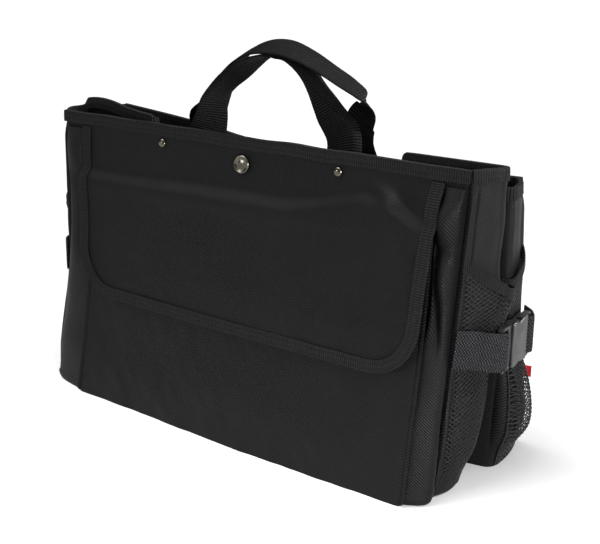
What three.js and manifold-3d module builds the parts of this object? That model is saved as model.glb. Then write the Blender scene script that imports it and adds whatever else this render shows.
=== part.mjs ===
// Trunk organizer of black cloth, folded flat and standing on its foot.
// Millimetres, +Z up, X along the front, Y from the front to the rear.
import * as THREE from "three";
import { mergeVertices } from "three/addons/utils/BufferGeometryUtils.js";
import Module from "manifold-3d";

// Driving dimensions
const FRONT_TOP = 320; // height of the front wall
const CLOTH = 2; // thickness of the walls
const SOFT_CLOTH = 1.6; // thickness of the flap
const NET = 1.2; // thickness of the net
const GAP = 0.4; // clearance between pieces that are sewn together
const LOOSE = 0.9; // clearance where a tape or fitting sits on cloth that is not quite flat

const POCKET_MOUTH = 255; // height of the pocket's mouth
const POCKET_CORNER = 9; // radius of the pocket's lower corners
const GUSSET_SEAM = 4; // the gusset is sewn this far inside the side seam
const GUSSET_PUFF = 14; // how far the gusset puffs out at its foot

const FLAP_HALF = 217; // half width of the flap
const FLAP_MIDDLE = 5; // the flap sits this far right of the middle
const FLAP_FOOT = 127; // height of the flap's lower edge
const FLAP_CORNER = 50; // radius of its lower corners
const FLAP_LIFT = 5; // the flap lies this far in front of what it covers

const TAPE_LEG = 11; // height of the binding on each face
const TAPE = 1; // thickness of the binding
const TURN_LOOSE = 1.2; // clearance of a tape that turns tightly

const WEBBING_WIDTH = 38;
const WEBBING = 2.2; // thickness of the webbing
const FOLD_RADIUS = 4; // of the inward fold of the end panels
const CORNER_ROUND = 12; // length of the rounding at an end panel's outer corners
const SIDE_BOW = 3; // how far an end panel's outer faces bow out

// The side seams at four heights: the front wall's distance to each side and its depth, then the rear
// wall's. The foot stands a little to the left of the top.
const SEAM_ROWS = [
  { z: 0, left: 271, right: 232, front: 16, rearHalf: 246, rear: 176 },
  { z: 150, left: 249, right: 241, front: 24, rearHalf: 249, rear: 154 },
  { z: 240, left: 249, right: 246, front: 29, rearHalf: 251, rear: 142 },
  { z: 320, left: 250, right: 250, front: 34, rearHalf: 252, rear: 130 },
];

// The folded end at the same heights: how far out its front and rear corners are, and the inward fold
const FOLD_ROWS = [
  { z: 0, left: 278, right: 240, cornerY: 62, foldX: 150, foldY: 84, rearCorner: 256, rearCornerY: 104 },
  { z: 150, left: 261, right: 263, cornerY: 80, foldX: 155, foldY: 88, rearCorner: 264, rearCornerY: 99 },
  { z: 240, left: 267, right: 267, cornerY: 79, foldX: 158, foldY: 83, rearCorner: 267, rearCornerY: 93 },
  { z: 320, left: 270, right: 270, cornerY: 77, foldX: 158, foldY: 78, rearCorner: 268, rearCornerY: 91 },
];

// Height of the rear wall along its width: it stands higher at the left
const REAR_TOP_ROWS = [
  { x: -252, top: 312 },
  { x: -150, top: 303 },
  { x: -50, top: 290 },
  { x: 100, top: 290 },
  { x: 252, top: 294 },
];

// The front pocket's face: its middle, its half width, and how far it stands in front of the wall
const POCKET_ROWS = [
  { z: 0, middle: -1, half: 223, depth: 30 },
  { z: 60, middle: 5, half: 219, depth: 29 },
  { z: 150, middle: 9, half: 216, depth: 20 },
  { z: 225, middle: 9, half: 214, depth: 11 },
  { z: 255, middle: 9, half: 213, depth: 8 },
  { z: 320, middle: 9, half: 212, depth: 0 },
];
const LEAST_DEPTH = 6;
const LEFT_DEPTH = { share: 0.68, from: -225, span: 280 }; // the pocket is pressed flatter towards the left

// How far the slack net stands out from the end panel
const NET_ROWS = [
  { z: 0, bulge: 0 },
  { z: 16, bulge: 3 },
  { z: 46, bulge: 12 },
  { z: 90, bulge: 9 },
  { z: 124, bulge: 1 },
  { z: 166, bulge: 1 },
  { z: 200, bulge: 7 },
  { z: 245, bulge: 3 },
];

// Soft folds of the flap: a ridge of the given height along a line through x, z, turned from level
const FLAP_FOLDS = [
  { x: 165, z: 276, turn: -46, length: 52, width: 9, height: 3.2 },
  { x: 190, z: 250, turn: -70, length: 60, width: 8, height: -2.4 },
  { x: 60, z: 292, turn: -50, length: 24, width: 8, height: 1.8 },
  { x: -70, z: 262, turn: -3, length: 120, width: 10, height: 1.6 },
  { x: -60, z: 284, turn: -3, length: 130, width: 11, height: -1.6 },
  { x: -150, z: 180, turn: 12, length: 90, width: 26, height: -1.4 },
  { x: 60, z: 165, turn: -4, length: 140, width: 20, height: 1.4 },
];

// Dents of the front wall in the strips beside the flap
const WALL_DENTS = [
  { x: 236, z: 262, turn: 15, length: 20, width: 8, height: -2 },
  { x: 234, z: 286, turn: 72, length: 16, width: 8, height: 3 },
  { x: -232, z: 266, turn: -15, length: 20, width: 8, height: -2 },
  { x: -232, z: 288, turn: 100, length: 16, width: 8, height: 2.4 },
];

// Dents of the pocket's face, which fade out towards its sides
const DENT_FADE = 40;
const POCKET_DENTS = [
  { x: -120, z: 70, turn: 10, length: 110, width: 40, height: -2.2 },
  { x: 90, z: 45, turn: -6, length: 130, width: 30, height: 1.6 },
  { x: 185, z: 90, turn: 75, length: 70, width: 18, height: 1.8 },
];

// Routes of the handles. turn is the way the webbing's width points, from +X to +Y, and tilt is its rise.
const FRONT_HANDLE_ROWS = [
  { x: -68, y: 32.5, z: 228, turn: 0, tilt: 0 },
  { x: -68, y: 34, z: 252, turn: 0, tilt: 0 },
  { x: -68, y: 43, z: 280, turn: 22, tilt: 0 },
  { x: -68, y: 57, z: 307, turn: 66, tilt: 0 },
  { x: -68, y: 65, z: 327, turn: 92, tilt: 0 },
  { x: -67, y: 69, z: 348, turn: 95, tilt: 0 },
  { x: -56, y: 73, z: 362, turn: 95, tilt: 5 },
  { x: -40, y: 77, z: 374, turn: 92, tilt: 10 },
  { x: -17, y: 82, z: 392, turn: 90, tilt: 17 },
  { x: 10, y: 86, z: 400, turn: 90, tilt: 17 },
  { x: 26, y: 86, z: 396.5, turn: 92, tilt: 17 },
  { x: 41, y: 84, z: 385, turn: 104, tilt: 14 },
  { x: 55, y: 80, z: 370.5, turn: 126, tilt: 6 },
  { x: 67, y: 76, z: 358, turn: 146, tilt: 0 },
  { x: 81, y: 71, z: 343, turn: 168, tilt: 0 },
  { x: 93, y: 66, z: 327, turn: 184, tilt: 0 },
  { x: 100, y: 57, z: 307, turn: 190, tilt: 0 },
  { x: 102, y: 44, z: 280, turn: 186, tilt: 0 },
  { x: 102, y: 34, z: 252, turn: 180, tilt: 0 },
  { x: 102, y: 32.5, z: 228, turn: 180, tilt: 0 },
];
const REAR_HANDLE_ROWS = [
  { x: -107, y: 140, z: 228, turn: 0, tilt: 0 },
  { x: -107, y: 136, z: 252, turn: 0, tilt: 0 },
  { x: -107, y: 123, z: 279, turn: 0, tilt: 0 },
  { x: -106, y: 104, z: 302, turn: 2, tilt: 0 },
  { x: -99, y: 95, z: 319, turn: 28, tilt: 0 },
  { x: -84, y: 91, z: 340, turn: 74, tilt: 0 },
  { x: -64, y: 87, z: 367, turn: 88, tilt: 8 },
  { x: -42, y: 85, z: 390, turn: 90, tilt: 16 },
  { x: -18, y: 84, z: 402, turn: 90, tilt: 17 },
  { x: 10, y: 84, z: 404.5, turn: 90, tilt: 17 },
  { x: 38, y: 84, z: 398, turn: 90, tilt: 16 },
  { x: 64, y: 85, z: 387, turn: 90, tilt: 13 },
  { x: 87, y: 87, z: 373, turn: 92, tilt: 9 },
  { x: 103, y: 89, z: 360, turn: 104, tilt: 4 },
  { x: 106, y: 91, z: 348, turn: 154, tilt: 0 },
  { x: 98, y: 93, z: 336, turn: 174, tilt: 0 },
  { x: 92, y: 97, z: 316, turn: 180, tilt: 0 },
  { x: 91, y: 111, z: 296, turn: 180, tilt: 0 },
  { x: 91, y: 126, z: 275, turn: 180, tilt: 0 },
  { x: 91, y: 136, z: 252, turn: 180, tilt: 0 },
  { x: 91, y: 140, z: 228, turn: 180, tilt: 0 },
];

// Side straps from the seam to the buckle, and the buckle between them
const FRONT_STRAP_ROWS = [
  { share: 0, y: 17.5, z: 162 },
  { share: 0.52, y: 33, z: 157 },
  { share: 1, y: 50, z: 149 },
];
const REAR_STRAP_ROWS = [
  { share: 0, y: 163, z: 138 },
  { share: 0.52, y: 152, z: 140 },
  { share: 1, y: 138, z: 143 },
];
const STRAP_START = 3.5; // the straps start this far out from the seams
const BUCKLE = { x: 273, z: 145, from: 65, to: 127, width: 46, thick: 11 };
const SLOT = { width: WEBBING_WIDTH + 2, height: 6 }; // of the buckle's strap slots
const SLOT_BAR = 5; // width of the bar that the strap goes round

// The net pockets: heights of their hems at the side seam and where they turn inward, and how slack the net
// is below the strap and at its mouth
const NETS = [
  { end: "front", word: "left", side: -1, seam: 226, inner: 190, slack: 1, mouth: 1.2 },
  { end: "rear", word: "left", side: -1, seam: 228, inner: 206, slack: 1.2, mouth: 1 },
  { end: "front", word: "right", side: 1, seam: 243, inner: 194, slack: 0.9, mouth: 1 },
  { end: "rear", word: "right", side: 1, seam: 228, inner: 206, slack: 1.75, mouth: 0.6 },
];

const COLOURS = { cloth: 0x1d1e20, tape: 0x232427, webbing: 0x222325, net: 0x141416, plastic: 0x3b3c3f };
const STEEL = 0xd5d7da;
const RED = 0xa01c22;

// Small helpers
const lerp = THREE.MathUtils.lerp;
const radians = THREE.MathUtils.degToRad;
const smooth = (share) => THREE.MathUtils.smoothstep(share, 0, 1);

// A column of a table, read smoothly at any place along its key column
function readRow(rows, column, place, key = "z") {
  let k = 0;
  while (k < rows.length - 2 && place > rows[k + 1][key]) k += 1;
  const slopeAt = (i) => {
    const low = rows[Math.max(i - 1, 0)];
    const high = rows[Math.min(i + 1, rows.length - 1)];
    return (high[column] - low[column]) / (high[key] - low[key]);
  };
  const span = rows[k + 1][key] - rows[k][key];
  const t = THREE.MathUtils.clamp((place - rows[k][key]) / span, 0, 1);
  const rise = t * t * (3 - 2 * t);
  const start = t * (1 - t) * (1 - t) * span * slopeAt(k);
  const end = t * t * (t - 1) * span * slopeAt(k + 1);
  return lerp(rows[k][column], rows[k + 1][column], rise) + start + end;
}

// The sum of a table of soft ridges at a place on an upright sheet
function ridges(rows, x, z) {
  let sum = 0;
  for (const row of rows) {
    const angle = radians(row.turn);
    const along = (x - row.x) * Math.cos(angle) + (z - row.z) * Math.sin(angle);
    const across = (z - row.z) * Math.cos(angle) - (x - row.x) * Math.sin(angle);
    sum += row.height * Math.exp(-((along / row.length) ** 2) - (across / row.width) ** 2);
  }
  return sum;
}

// A grid of points from a function of two shares, rows first
function gridOf(rows, columns, place) {
  const grid = [];
  for (let i = 0; i <= rows; i += 1) {
    const line = [];
    for (let j = 0; j <= columns; j += 1) line.push(place(i / rows, j / columns));
    grid.push(line);
  }
  return grid;
}

function solidOf(positions, index) {
  let volume = 0;
  const corner = (k) => new THREE.Vector3().fromArray(positions, 3 * k);
  for (let k = 0; k < index.length; k += 3) {
    volume += corner(index[k]).dot(corner(index[k + 1]).cross(corner(index[k + 2])));
  }
  const faces = volume > 0 ? index : index.slice().reverse();
  const geometry = new THREE.BufferGeometry();
  geometry.setAttribute("position", new THREE.Float32BufferAttribute(positions, 3));
  geometry.setIndex(faces);
  geometry.computeVertexNormals();
  return geometry;
}

// A closed sheet of even thickness about a grid of points. A flat foot keeps its first row level.
function sheet(grid, thickness, flatFoot = false) {
  const rows = grid.length;
  const columns = grid[0].length;
  const normalAt = (i, j) => {
    const along = grid[Math.min(i + 1, rows - 1)][j].clone().sub(grid[Math.max(i - 1, 0)][j]);
    const across = grid[i][Math.min(j + 1, columns - 1)].clone().sub(grid[i][Math.max(j - 1, 0)]);
    const normal = along.cross(across);
    if (flatFoot && i === 0) normal.setZ(0);
    return normal.normalize();
  };
  const positions = [];
  for (const side of [thickness / 2, -thickness / 2]) {
    for (let i = 0; i < rows; i += 1) {
      for (let j = 0; j < columns; j += 1) {
        positions.push(...grid[i][j].clone().addScaledVector(normalAt(i, j), side).toArray());
      }
    }
  }
  const index = [];
  const back = rows * columns;
  const quad = (a, b, c, d) => index.push(a, b, c, a, c, d);
  for (let i = 0; i < rows - 1; i += 1) {
    for (let j = 0; j < columns - 1; j += 1) {
      const a = i * columns + j;
      quad(a, a + columns, a + columns + 1, a + 1);
      quad(back + a, back + a + 1, back + a + columns + 1, back + a + columns);
    }
  }
  const edge = [];
  for (let j = 0; j < columns - 1; j += 1) edge.push(j);
  for (let i = 0; i < rows - 1; i += 1) edge.push(i * columns + columns - 1);
  for (let j = columns - 1; j > 0; j -= 1) edge.push((rows - 1) * columns + j);
  for (let i = rows - 1; i > 0; i -= 1) edge.push(i * columns);
  for (let k = 0; k < edge.length; k += 1) {
    const a = edge[k];
    const b = edge[(k + 1) % edge.length];
    quad(a, b, back + b, back + a);
  }
  return solidOf(positions, index);
}

// A closed solid of one section carried along stations, each with a point and two directions
function sweep(stations, section) {
  const positions = [];
  for (const { point, across, up } of stations) {
    for (const [a, b] of section) {
      positions.push(...point.clone().addScaledVector(across, a).addScaledVector(up, b).toArray());
    }
  }
  const size = section.length;
  const index = [];
  for (let i = 0; i < stations.length - 1; i += 1) {
    for (let k = 0; k < size; k += 1) {
      const a = i * size + k;
      const b = i * size + ((k + 1) % size);
      index.push(a, b, b + size, a, b + size, a + size);
    }
  }
  const outline = section.map(([a, b]) => new THREE.Vector2(a, b));
  const area = THREE.ShapeUtils.area(outline);
  const last = (stations.length - 1) * size;
  for (const face of THREE.ShapeUtils.triangulateShape(outline, [])) {
    const turn = THREE.ShapeUtils.area(face.map((k) => outline[k]));
    const [a, b, c] = turn * area > 0 ? face : face.slice().reverse();
    index.push(c, b, a, last + a, last + b, last + c);
  }
  return solidOf(positions, index);
}

// A folded tape that straddles an edge: across is through the cloth, up is away from it
function tapeSection(front, back) {
  return [
    [-front - TAPE, -TAPE_LEG],
    [-front - TAPE, GAP + TAPE],
    [back + TAPE, GAP + TAPE],
    [back + TAPE, -TAPE_LEG],
    [back, -TAPE_LEG],
    [back, GAP],
    [-front, GAP],
    [-front, -TAPE_LEG],
  ];
}

// A tape on the front of an edge only, turned over as far as the back of the cloth
function tapeSectionOnFront(front, back) {
  return [
    [-front - TAPE, -TAPE_LEG],
    [-front - TAPE, LOOSE + TAPE],
    [back, LOOSE + TAPE],
    [back, LOOSE],
    [-front, LOOSE],
    [-front, -TAPE_LEG],
  ];
}

// Walls
const UP = new THREE.Vector3(0, 0, 1);
const seamAt = (column, z) => readRow(SEAM_ROWS, column, z);
const frontWallY = (z) => seamAt("front", z);
const rearWallY = (z) => seamAt("rear", z);
const frontSeamAt = (side, z) => seamAt(side < 0 ? "left" : "right", z);
const rearTopAt = (x) => readRow(REAR_TOP_ROWS, "top", x, "x");

function frontWallAt(x, z) {
  return new THREE.Vector3(x, frontWallY(z) - ridges(WALL_DENTS, x, z), z);
}

// Shares across the front wall, close together in the strips beside the flap
const STRIP_SHARE = 0.13; // of the half width
const STRIP_STEPS = 4;
const WALL_STEPS = 14;

function wallShare(u) {
  const k = Math.round(u * WALL_STEPS);
  const step = STRIP_SHARE / STRIP_STEPS;
  if (k < STRIP_STEPS) return k * step - 1;
  if (k > WALL_STEPS - STRIP_STEPS) return 1 - (WALL_STEPS - k) * step;
  return lerp(STRIP_SHARE - 1, 1 - STRIP_SHARE, (k - STRIP_STEPS) / (WALL_STEPS - 2 * STRIP_STEPS));
}

function frontWall() {
  const place = (v, u) => {
    const z = v * FRONT_TOP;
    const share = wallShare(u);
    const edge = lerp(frontSeamAt(-1, z), frontSeamAt(1, z), (share + 1) / 2);
    return frontWallAt(share * (edge - GAP), z);
  };
  return sheet(gridOf(12, WALL_STEPS, place), CLOTH, true);
}

function rearWallAt(across, v) {
  const x = across * (seamAt("rearHalf", v * FRONT_TOP) - GAP);
  const z = v * rearTopAt(x);
  return new THREE.Vector3(x, rearWallY(z), z);
}

function rearWall() {
  const place = (v, u) => rearWallAt(2 * u - 1, v);
  return sheet(gridOf(7, 8, place), CLOTH, true);
}

// The end panel's line in plan at one height: points with their outward directions
const SIDE_STEPS = { face: 5, corner: 4, layer: 3, fold: 5 };
const NET_STEPS = SIDE_STEPS.face + SIDE_STEPS.corner + 1;
const SEAM_START = 2.4; // the end panel starts this far behind the seam

function endLine(z, side) {
  const at = (column) => readRow(FOLD_ROWS, column, z);
  const front = new THREE.Vector2(frontSeamAt(side, z) + GAP, frontWallY(z) + SEAM_START);
  const corner = new THREE.Vector2(at(side < 0 ? "left" : "right"), at("cornerY"));
  const foldX = at("foldX") + FOLD_RADIUS;
  const rearCorner = new THREE.Vector2(at("rearCorner"), at("rearCornerY"));
  const rear = new THREE.Vector2(seamAt("rearHalf", z) + GAP, rearWallY(z) - SEAM_START);
  const layerEnd = new THREE.Vector2(foldX, at("foldY") - FOLD_RADIUS);
  const rearLayerEnd = new THREE.Vector2(foldX, at("foldY") + FOLD_RADIUS);
  const towards = (from, to, length) => to.clone().sub(from).setLength(length).add(from);
  const bowed = (from, to) => {
    const middle = from.clone().lerp(to, 0.5);
    return new THREE.QuadraticBezierCurve(from, middle.setX(middle.x + 2 * SIDE_BOW), to);
  };
  const faceEnd = towards(corner, front, CORNER_ROUND);
  const layerStart = towards(corner, layerEnd, CORNER_ROUND);
  const rearLayerStart = towards(rearCorner, rearLayerEnd, CORNER_ROUND);
  const rearFaceEnd = towards(rearCorner, rear, CORNER_ROUND);
  const pieces = [
    [bowed(front, faceEnd), SIDE_STEPS.face],
    [new THREE.QuadraticBezierCurve(faceEnd, corner, layerStart), SIDE_STEPS.corner],
    [new THREE.LineCurve(layerStart, layerEnd), SIDE_STEPS.layer],
    [foldArc(foldX, at("foldY")), SIDE_STEPS.fold],
    [new THREE.LineCurve(rearLayerEnd, rearLayerStart), SIDE_STEPS.layer],
    [new THREE.QuadraticBezierCurve(rearLayerStart, rearCorner, rearFaceEnd), SIDE_STEPS.corner],
    [bowed(rearFaceEnd, rear), SIDE_STEPS.face],
  ];
  const points = [front];
  for (const [curve, steps] of pieces) points.push(...curve.getPoints(steps).slice(1));
  return points.map((point, k) => {
    const before = points[Math.max(k - 1, 0)];
    const after = points[Math.min(k + 1, points.length - 1)];
    const way = after.clone().sub(before).normalize();
    return { point, out: new THREE.Vector2(way.y, -way.x) };
  });
}

function foldArc(x, y) {
  return new THREE.EllipseCurve(x, y, FOLD_RADIUS, FOLD_RADIUS, -Math.PI / 2, Math.PI / 2, true);
}

const END_POINTS = endLine(0, 1).length;

// Height of the end panel's top edge: it sags towards the front corner and drops to the rear wall over the
// fold. The left one is pushed up behind its corner.
const CORNER_SAG = { from: 0.05, span: 0.2, depth: 2.5 };
const FOLD_DROP = { from: 0.4, span: 0.2 };
const LEFT_PEAK = { height: 11, at: 0.33, spread: 0.05 };

function endTop(share, side) {
  const reached = ({ from, span }) => smooth((share - from) / span);
  const rearTop = rearTopAt(side * seamAt("rearHalf", FRONT_TOP));
  const layer = FRONT_TOP - CORNER_SAG.depth * reached(CORNER_SAG);
  const peak = LEFT_PEAK.height * Math.exp(-(((share - LEFT_PEAK.at) / LEFT_PEAK.spread) ** 2));
  return lerp(layer, rearTop, reached(FOLD_DROP)) + (side < 0 ? peak : 0);
}

function endPanelAt(v, k, side) {
  const z = v * endTop(k / (END_POINTS - 1), side);
  const { point } = endLine(Math.min(z, FRONT_TOP), side)[k];
  return new THREE.Vector3(side * point.x, point.y, z);
}

function endPanel(side) {
  const columns = END_POINTS - 1;
  return sheet(gridOf(6, columns, (v, u) => endPanelAt(v, Math.round(u * columns), side)), CLOTH, true);
}

// Front pocket
const pocketAt = (column, z) => readRow(POCKET_ROWS, column, z);
const pocketHalfAt = (z) => pocketAt("half", z);

function pocketDepth(x, z) {
  const pressed = lerp(LEFT_DEPTH.share, 1, smooth((x - LEFT_DEPTH.from) / LEFT_DEPTH.span));
  return Math.max(pressed * pocketAt("depth", z), LEAST_DEPTH);
}

const pocketFaceY = (x, z) => frontWallY(z) - pocketDepth(x, z);

function pocketFaceAt(x, z) {
  const inside = pocketHalfAt(z) - Math.abs(x - pocketAt("middle", z));
  const dent = smooth(inside / DENT_FADE) * ridges(POCKET_DENTS, x, z);
  return new THREE.Vector3(x, pocketFaceY(x, z) - dent, z);
}

// Lower edge of an upright panel with rounded corners
function roundedFoot(x, half, radius, foot) {
  const past = Math.max(0, Math.abs(x) - (half - radius));
  return foot + radius - Math.sqrt(Math.max(0, radius * radius - past * past));
}

// Shares across a panel with rounded corners, closer together in the corners
const CORNER_STEPS = 4;

function acrossShare(u, half, radius, steps) {
  const straight = steps - 2 * CORNER_STEPS;
  const k = Math.round(u * steps);
  const inner = half - radius;
  const reach = (step) => inner + radius * Math.cos((Math.PI / 2) * (step / CORNER_STEPS));
  if (k < CORNER_STEPS) return -reach(k);
  if (k > steps - CORNER_STEPS) return reach(steps - k);
  return lerp(-inner, inner, (k - CORNER_STEPS) / straight);
}

const POCKET_STEPS = 20;

function pocketFace() {
  const place = (v, u) => {
    const half = pocketHalfAt(0);
    const flat = acrossShare(u, half, POCKET_CORNER, POCKET_STEPS);
    const z = lerp(roundedFoot(flat, half, POCKET_CORNER, 0), POCKET_MOUTH, v);
    return pocketFaceAt(pocketAt("middle", z) + (flat * pocketHalfAt(z)) / half, z);
  };
  return sheet(gridOf(7, POCKET_STEPS, place), CLOTH, true);
}

// The gusset runs down one side, along the foot and up the other side, from the wall to the pocket's face.
// Each of its steps is a part of the run and a place in it: a height, an angle of the corner or a share.
const GUSSET_STEPS = { side: 6, corner: 4, foot: 8, across: 4 };

function gussetRun() {
  const { side, corner, foot } = GUSSET_STEPS;
  const heightAt = (k) => lerp(POCKET_MOUTH, POCKET_CORNER, k / side);
  const angleAt = (k) => (Math.PI / 2) * (k / corner);
  const down = [];
  for (let k = 0; k < side; k += 1) down.push({ part: "side", place: heightAt(k) });
  for (let k = 0; k < corner; k += 1) down.push({ part: "corner", place: angleAt(k) });
  const run = down.map((step) => ({ ...step, hand: -1 }));
  for (let k = 0; k <= foot; k += 1) run.push({ part: "foot", place: k / foot, hand: 0 });
  return [...run, ...down.reverse().map((step) => ({ ...step, hand: 1 }))];
}

function pocketGusset() {
  const rise = CLOTH / 2;
  const round = POCKET_CORNER - rise;
  const edge = (reach, { part, place, hand }) => {
    if (part === "side") return [hand * (reach(hand, place) - rise), place];
    const straight = (side) => side * (reach(side, 0) - POCKET_CORNER);
    if (part === "foot") return [lerp(straight(-1), straight(1), place), rise];
    return [straight(hand) + hand * round * Math.cos(place), POCKET_CORNER - round * Math.sin(place)];
  };
  const wallReach = (side, z) => frontSeamAt(side, z) - GUSSET_SEAM;
  const faceReach = (side, z) => pocketHalfAt(z) + side * pocketAt("middle", z);
  const run = gussetRun();
  const place = (v, u) => {
    const step = run[Math.round(v * (run.length - 1))];
    const [wallX, wallZ] = edge(wallReach, step);
    const [faceX, z] = edge(faceReach, step);
    const wallY = frontWallY(wallZ) - CLOTH / 2 - LOOSE - GAP;
    const faceY = pocketFaceY(faceX, z) + CLOTH / 2 + 2 * LOOSE;
    const puff = step.hand * GUSSET_PUFF * (1 - z / POCKET_MOUTH) * Math.sin(Math.PI * u);
    return new THREE.Vector3(lerp(wallX, faceX, u) + puff, lerp(wallY, faceY, u), lerp(wallZ, z, u));
  };
  return sheet(gridOf(run.length - 1, GUSSET_STEPS.across, place), CLOTH);
}

// Flap
const FLAP_STEPS = 24;
const FLAP_FREE = FRONT_TOP - TAPE_LEG - 4; // below this height the flap leaves the wall

function flapAt(x, z) {
  const cover = smooth((FLAP_FREE - z) / (FLAP_FREE - POCKET_MOUTH));
  const lift = lerp(CLOTH / 2 + SOFT_CLOTH / 2 + GAP, FLAP_LIFT, cover);
  const y = frontWallY(z) - cover * pocketDepth(x, z) - lift;
  const shape = Math.max(ridges(FLAP_FOLDS, x, z), -1.5);
  return new THREE.Vector3(x, y - shape * smooth((FLAP_FREE - z) / 20), z);
}

function flap() {
  const place = (v, u) => {
    const x = acrossShare(u, FLAP_HALF, FLAP_CORNER, FLAP_STEPS);
    return flapAt(FLAP_MIDDLE + x, lerp(roundedFoot(x, FLAP_HALF, FLAP_CORNER, FLAP_FOOT), FRONT_TOP, v));
  };
  return sheet(gridOf(10, FLAP_STEPS, place), SOFT_CLOTH);
}

// Points round the flap's free edge, from the upper left to the upper right
function flapEdge() {
  const edge = [];
  const top = FRONT_TOP - TAPE_LEG - 2;
  const low = FLAP_FOOT + FLAP_CORNER;
  const inner = FLAP_HALF - FLAP_CORNER;
  const sideSteps = 6;
  const cornerSteps = 6;
  const footSteps = 10;
  for (let k = 0; k < sideSteps; k += 1) edge.push([-FLAP_HALF, lerp(top, low, k / sideSteps)]);
  for (let k = 0; k < cornerSteps; k += 1) {
    const angle = (Math.PI / 2) * (k / cornerSteps);
    edge.push([-inner - FLAP_CORNER * Math.cos(angle), low - FLAP_CORNER * Math.sin(angle)]);
  }
  for (let k = 0; k <= footSteps / 2; k += 1) edge.push([lerp(-inner, 0, (2 * k) / footSteps), FLAP_FOOT]);
  const mirrored = edge.slice(0, -1).reverse();
  return [...edge, ...mirrored.map(([x, z]) => [-x, z])];
}

function flapBinding() {
  const edge = flapEdge().map(([x, z]) => flapAt(FLAP_MIDDLE + x, z));
  const stations = edge.map((point, k) => {
    const before = edge[Math.max(k - 1, 0)];
    const after = edge[Math.min(k + 1, edge.length - 1)];
    const way = after.clone().sub(before).normalize();
    const step = 2;
    const slope = flapAt(point.x, point.z + step).sub(flapAt(point.x, point.z - step));
    const across = new THREE.Vector3(0, slope.z, -slope.y).normalize();
    const up = way.clone().cross(across).normalize();
    return { point, across: up.clone().cross(way).normalize(), up: up.multiplyScalar(-1) };
  });
  return sweep(stations, tapeSectionOnFront(SOFT_CLOTH / 2 + TURN_LOOSE, SOFT_CLOTH / 2));
}

// Tapes over the top edges
const BINDING_END = 1.5; // the walls' tapes end this far inside the side seams

function frontBinding() {
  const stations = [];
  const steps = 14;
  const half = frontSeamAt(1, FRONT_TOP) - BINDING_END;
  for (let k = 0; k <= steps; k += 1) {
    const point = frontWallAt(lerp(-half, half, k / steps), FRONT_TOP);
    const up = point.clone().sub(frontWallAt(point.x, FRONT_TOP - TAPE_LEG)).normalize();
    stations.push({ point, across: new THREE.Vector3(0, up.z, -up.y), up });
  }
  return sweep(stations, tapeSection(CLOTH / 2 + SOFT_CLOTH + 2 * GAP, CLOTH / 2 + GAP));
}

function rearBinding() {
  const stations = [];
  const steps = 8;
  const reach = 1 - BINDING_END / seamAt("rearHalf", FRONT_TOP);
  for (let k = 0; k <= steps; k += 1) {
    const across = lerp(-reach, reach, k / steps);
    const point = rearWallAt(across, 1);
    const up = point.clone().sub(rearWallAt(across, 1 - TAPE_LEG / FRONT_TOP)).setX(0).normalize();
    stations.push({ point, across: new THREE.Vector3(0, up.z, -up.y), up });
  }
  return sweep(stations, tapeSection(CLOTH / 2 + GAP, CLOTH / 2 + GAP));
}

function sideBinding(side) {
  const stations = [];
  for (let k = 0; k < END_POINTS; k += 1) {
    const point = endPanelAt(1, k, side);
    const { out } = endLine(Math.min(point.z, FRONT_TOP), side)[k];
    stations.push({ point, across: new THREE.Vector3(side * out.x, out.y, 0), up: UP });
  }
  return sweep(stations, tapeSection(CLOTH / 2 + TURN_LOOSE, CLOTH / 2 + TURN_LOOSE));
}

// Net pockets: a slack wall round each half of the end panel, open at its hem
const NET_CLEAR = CLOTH / 2 + NET / 2 + 1.2;
const NET_FOOT = 2;

function netAt(row, u, z, extra) {
  const line = endLine(z, row.side);
  const k = Math.round(u * NET_STEPS);
  const { point, out } = row.end === "front" ? line[k] : line[line.length - 1 - k];
  const bulge = lerp(row.slack, row.mouth, smooth((z - 120) / 50)) * readRow(NET_ROWS, "bulge", z);
  const slack = bulge * Math.sin(Math.PI * Math.min(1, 1.3 * u)) ** 0.8;
  const off = NET_CLEAR + Math.max(0, slack) + extra;
  return new THREE.Vector3(row.side * (point.x + off * out.x), point.y + off * out.y, z);
}

const hemAt = (row, u) => lerp(row.seam, row.inner, smooth(u));

function net(row) {
  const place = (v, u) => netAt(row, u, lerp(NET_FOOT, hemAt(row, u), v), 0);
  return sheet(gridOf(8, NET_STEPS, place), NET);
}

function netHem(row) {
  const lift = NET / 2 + TAPE / 2 + GAP;
  const place = (v, u) => {
    const top = hemAt(row, u);
    return netAt(row, u, lerp(top - TAPE_LEG, top + 1, v), lift);
  };
  return sheet(gridOf(1, NET_STEPS, place), TAPE);
}

// Webbing along a table of places
function webbing(rows, steps, widthWay) {
  const curve = new THREE.CatmullRomCurve3(rows.map((row) => new THREE.Vector3(row.x, row.y, row.z)));
  const stations = [];
  for (let k = 0; k <= steps; k += 1) {
    const t = k / steps;
    const way = curve.getTangent(t);
    const wish = widthWay(t);
    const across = wish.addScaledVector(way, -wish.dot(way)).normalize();
    stations.push({ point: curve.getPoint(t), across, up: way.clone().cross(across).normalize() });
  }
  const w = WEBBING_WIDTH / 2;
  const t = WEBBING / 2;
  return sweep(stations, [[-w, -t], [w, -t], [w, t], [-w, t]]);
}

function handle(rows) {
  const angleAt = (column, t) => {
    const place = t * (rows.length - 1);
    const k = Math.min(Math.floor(place), rows.length - 2);
    return radians(lerp(rows[k][column], rows[k + 1][column], place - k));
  };
  const widthWay = (t) => {
    const turn = angleAt("turn", t);
    const level = new THREE.Vector3(Math.cos(turn), Math.sin(turn), 0);
    return level.addScaledVector(UP, Math.tan(angleAt("tilt", t)));
  };
  return webbing(rows, 2 * (rows.length - 1), widthWay);
}

// A side strap goes round the buckle's bar and comes back under itself
const LOOP_RADIUS = 5.9;
const LOOP_STEPS = 4;
const LOOP_TAIL = 9;

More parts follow.
